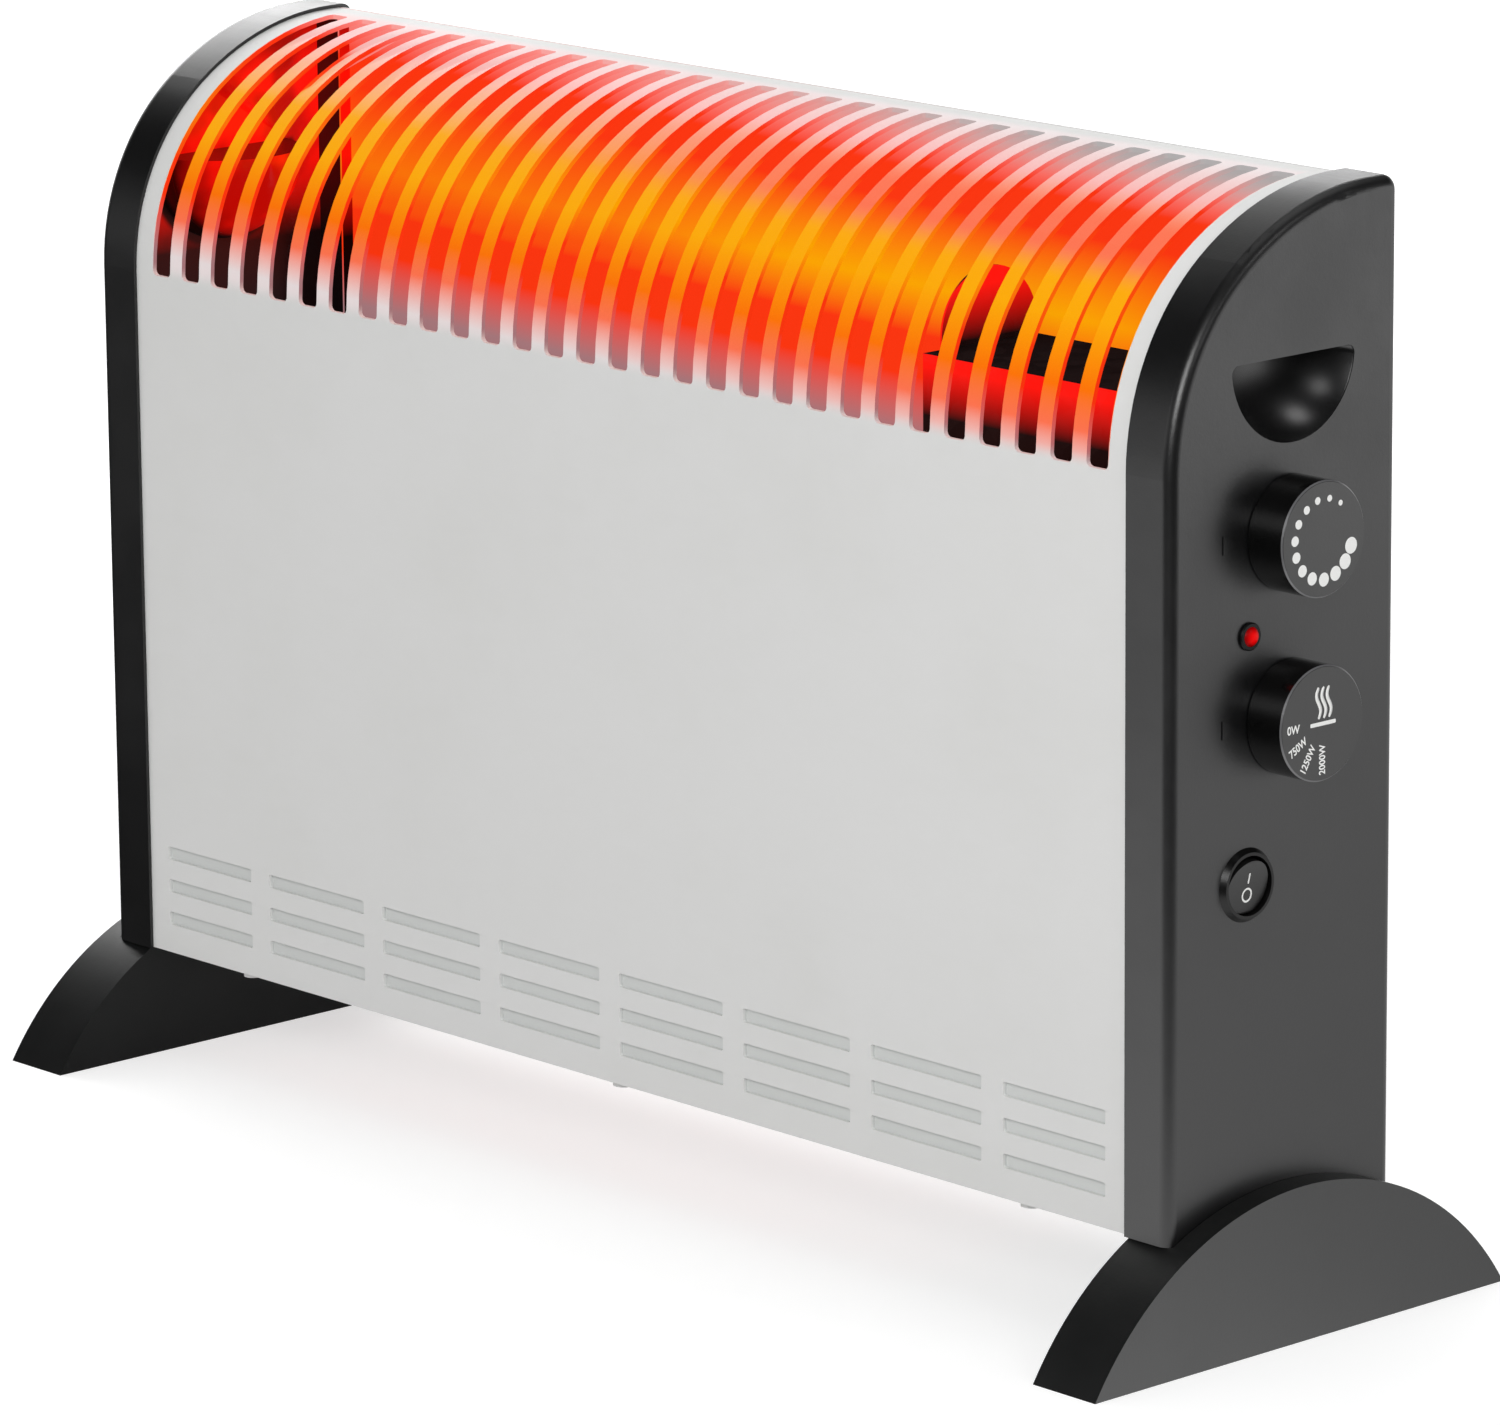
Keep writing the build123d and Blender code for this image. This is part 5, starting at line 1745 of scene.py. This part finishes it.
@dataclass
class Stage:
    """The pale floor, the white surroundings and the dark flags round them.

    Reflected rays see a white strip of floor and a low white horizon. The
    camera's side and the left front stay dark, as behind black studio flags.
    """

    half_size: float = 9.0
    floor_grey: float = 0.62
    strip_dim: float = 0.72
    flag_level: float = 0.03
    near_level: float = 0.55
    front_level: float = 1.7
    back_level: float = 1.25
    fill_level: float = 0.42
    towards_camera: tuple[float, float] = (0.741, -0.671)

    def build(self) -> None:
        """Lay the floor and set the world."""
        self.floor()
        self.world()

    def nearness(self, wiring: Wiring, wide: Socket, deep: Socket) -> Socket:
        """Measure how far a point or direction lies towards the camera's side."""
        across = wiring.times(wide, self.towards_camera[0])
        return wiring.calc("MULTIPLY_ADD", deep, self.towards_camera[1], across)

    def floor(self) -> None:
        """Lay a plain pale floor that shows white but keeps its shadows."""
        made = bmesh.new()
        bmesh.ops.create_grid(made, x_segments=24, y_segments=24, size=self.half_size)
        material = bpy.data.materials.new("floor_white")
        material.use_nodes = True
        material.node_tree.nodes.clear()
        wiring = Wiring(material.node_tree)
        path = wiring.add("ShaderNodeLightPath").outputs
        place = wiring.place()
        away = wiring.calc(
            "SQRT",
            wiring.plus(wiring.calc("POWER", place[Axis.X], 2.0), wiring.calc("POWER", place[Axis.Y], 2.0)),
        )
        level = wiring.fade(away, 0.5, 1.7, self.near_level, 1.0)
        seen = wiring.times(wiring.most(path["Is Camera Ray"], path["Is Transmission Ray"]), level)
        matt = wiring.add("ShaderNodeBsdfDiffuse", {"Color": (*[self.floor_grey] * 3, 1)}).outputs[0]
        glow = wiring.add("ShaderNodeEmission", {"Color": (1, 1, 1, 1), "Strength": seen}).outputs[0]
        shown = wiring.add("ShaderNodeAddShader", {0: matt, 1: glow}).outputs[0]
        near = self.nearness(wiring, place[Axis.X], place[Axis.Y])
        left = wiring.most(
            wiring.fade(near, -0.12, 0.06, self.flag_level, 1.0), wiring.fade(place[Axis.Y], 0.05, 0.35)
        )
        strip = wiring.times(left, wiring.fade(near, 0.4, 0.62, 1.0, self.flag_level))
        bright = wiring.times(
            strip, wiring.fade(place[Axis.Y], -0.1, 0.15, self.front_level, self.back_level)
        )
        bright = wiring.times(bright, wiring.fade(near, 0.05, 0.35, self.strip_dim, 1.0))
        mirrored = wiring.add("ShaderNodeEmission", {"Color": (1, 1, 1, 1), "Strength": bright}).outputs[0]
        both = wiring.add(
            "ShaderNodeMixShader", {0: path["Is Glossy Ray"], 1: shown, 2: mirrored}
        ).outputs[0]
        wiring.add("ShaderNodeOutputMaterial", {"Surface": both})
        floor = finish_mesh(made, "floor", material)

    def world(self) -> None:
        """Set a white background, a soft fill light and what gloss reflects."""
        world = bpy.data.worlds.new("studio")
        bpy.context.scene.world = world
        world.use_nodes = True
        world.node_tree.nodes.clear()
        wiring = Wiring(world.node_tree)
        path = wiring.add("ShaderNodeLightPath").outputs
        towards = wiring.coordinates("Generated")
        part = wiring.add("ShaderNodeSeparateXYZ", {0: towards}).outputs
        near = self.nearness(wiring, part["X"], part["Y"])
        lift = wiring.fade(near, -0.9, -0.3, 0.25, 0.0)
        behind = wiring.fade(part["Y"], -0.3, 0.1)
        front = wiring.times(wiring.fade(near, -0.13, -0.06, 0.0, 0.2), wiring.minus(1.0, behind))
        lift = wiring.plus(lift, front)
        horizon = wiring.fade(wiring.minus(part["Z"], lift), 0.0, 0.2, 1.0, 0.02)
        gloss = wiring.times(horizon, wiring.fade(near, 0.3, 0.75, 1.0, 0.04))
        gloss = wiring.times(gloss, wiring.most(behind, wiring.fade(near, -0.16, -0.08, 0.04, 1.0)))
        level = wiring.times(wiring.minus(1.0, path["Is Glossy Ray"]), self.fill_level)
        level = wiring.calc("MULTIPLY_ADD", path["Is Glossy Ray"], gloss, level)
        clear = wiring.most(path["Is Camera Ray"], path["Is Transmission Ray"])
        level = wiring.most(clear, level)
        shown = wiring.add("ShaderNodeBackground", {"Color": (1, 1, 1, 1), "Strength": level}).outputs[0]
        wiring.add("ShaderNodeOutputWorld", {"Surface": shown})


@dataclass(frozen=True)
class Softbox:
    """One square studio lamp that looks at a point."""

    name: str
    place: tuple[float, float, float]
    target: tuple[float, float, float]
    width: float
    height: float
    power: float

    def build(self) -> None:
        """Hang the lamp."""
        lamp = bpy.data.lights.new(self.name, "AREA")
        lamp.shape = "RECTANGLE"
        lamp.size, lamp.size_y = self.width, self.height
        lamp.energy = self.power
        holder = link_new(self.name, lamp)
        holder.location = self.place
        aim = Vector(self.target) - Vector(self.place)
        holder.rotation_euler = aim.to_track_quat("-Z", "Y").to_euler()
        holder.visible_camera = False


@dataclass(frozen=True)
class PhotoCamera:
    """The camera at the photograph's viewing angle."""

    place: tuple[float, float, float] = (2.0975, -1.8996, 0.8343)
    turn: tuple[float, float, float] = (76.628, 0.464, 47.505)
    lens: float = 203.53

    def build(self) -> None:
        """Set up the camera."""
        camera = bpy.data.cameras.new("photo_camera")
        camera.sensor_width = 36.0
        camera.lens = self.lens
        camera.clip_start, camera.clip_end = 0.05, 60.0
        holder = link_new("photo_camera", camera)
        holder.location = self.place
        holder.rotation_euler = Euler([math.radians(a) for a in self.turn], "XYZ")
        bpy.context.scene.camera = holder


SOFTBOXES = (
    Softbox("key_front", (1.5, -2.0, 1.3), (0.0, 0.0, 0.2), 1.3, 1.0, 35.0),
    Softbox("side_low", (1.35, 1.0, 0.26), (0.27, 0.0, 0.16), 1.2, 0.5, 2.5),
    Softbox("left_high", (-1.15, 0.47, 0.9), (-0.25, 0.0, 0.37), 0.8, 0.6, 6.5),
    Softbox("back_left", (-1.1, 1.4, 1.07), (0.25, 0.03, 0.37), 0.6, 0.5, 3.5),
    Softbox("top_wide", (0.0, 0.5, 2.2), (0.0, 0.0, 0.3), 1.8, 1.8, 7.0),
    Softbox("grip_upper", (1.20, 0.32, 1.10), (0.26, 0.01, 0.30), 0.24, 0.24, 0.9),
    Softbox("grip_front", (1.40, -0.24, 0.83), (0.26, 0.02, 0.31), 0.22, 0.22, 0.6),
)


def main() -> None:
    """Build and dress the heater in order."""
    logging.basicConfig(level=logging.INFO, format="%(name)s %(message)s")
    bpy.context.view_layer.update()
    bpy.context.scene.view_settings.view_transform = "Standard"
    PhotoCamera().build()
    Stage().build()
    for softbox in SOFTBOXES:
        softbox.build()
    effects = Effects()
    ink = PrintedInk("white_ink", effects).material()
    for part in (
        Casing(effects),
        Mouldings(effects),
        PilotLamp(),
        HeatingUnit(effects),
        ControlGear(effects),
        Fixings(effects),
    ):
        part.dress()
        LOG.info("%s is dressed", type(part).__name__)
    for dial in (ThermostatDial(ink), PowerDial(ink), RockerMarks(ink)):
        dial.build()


if __name__ == "__main__":
    main()
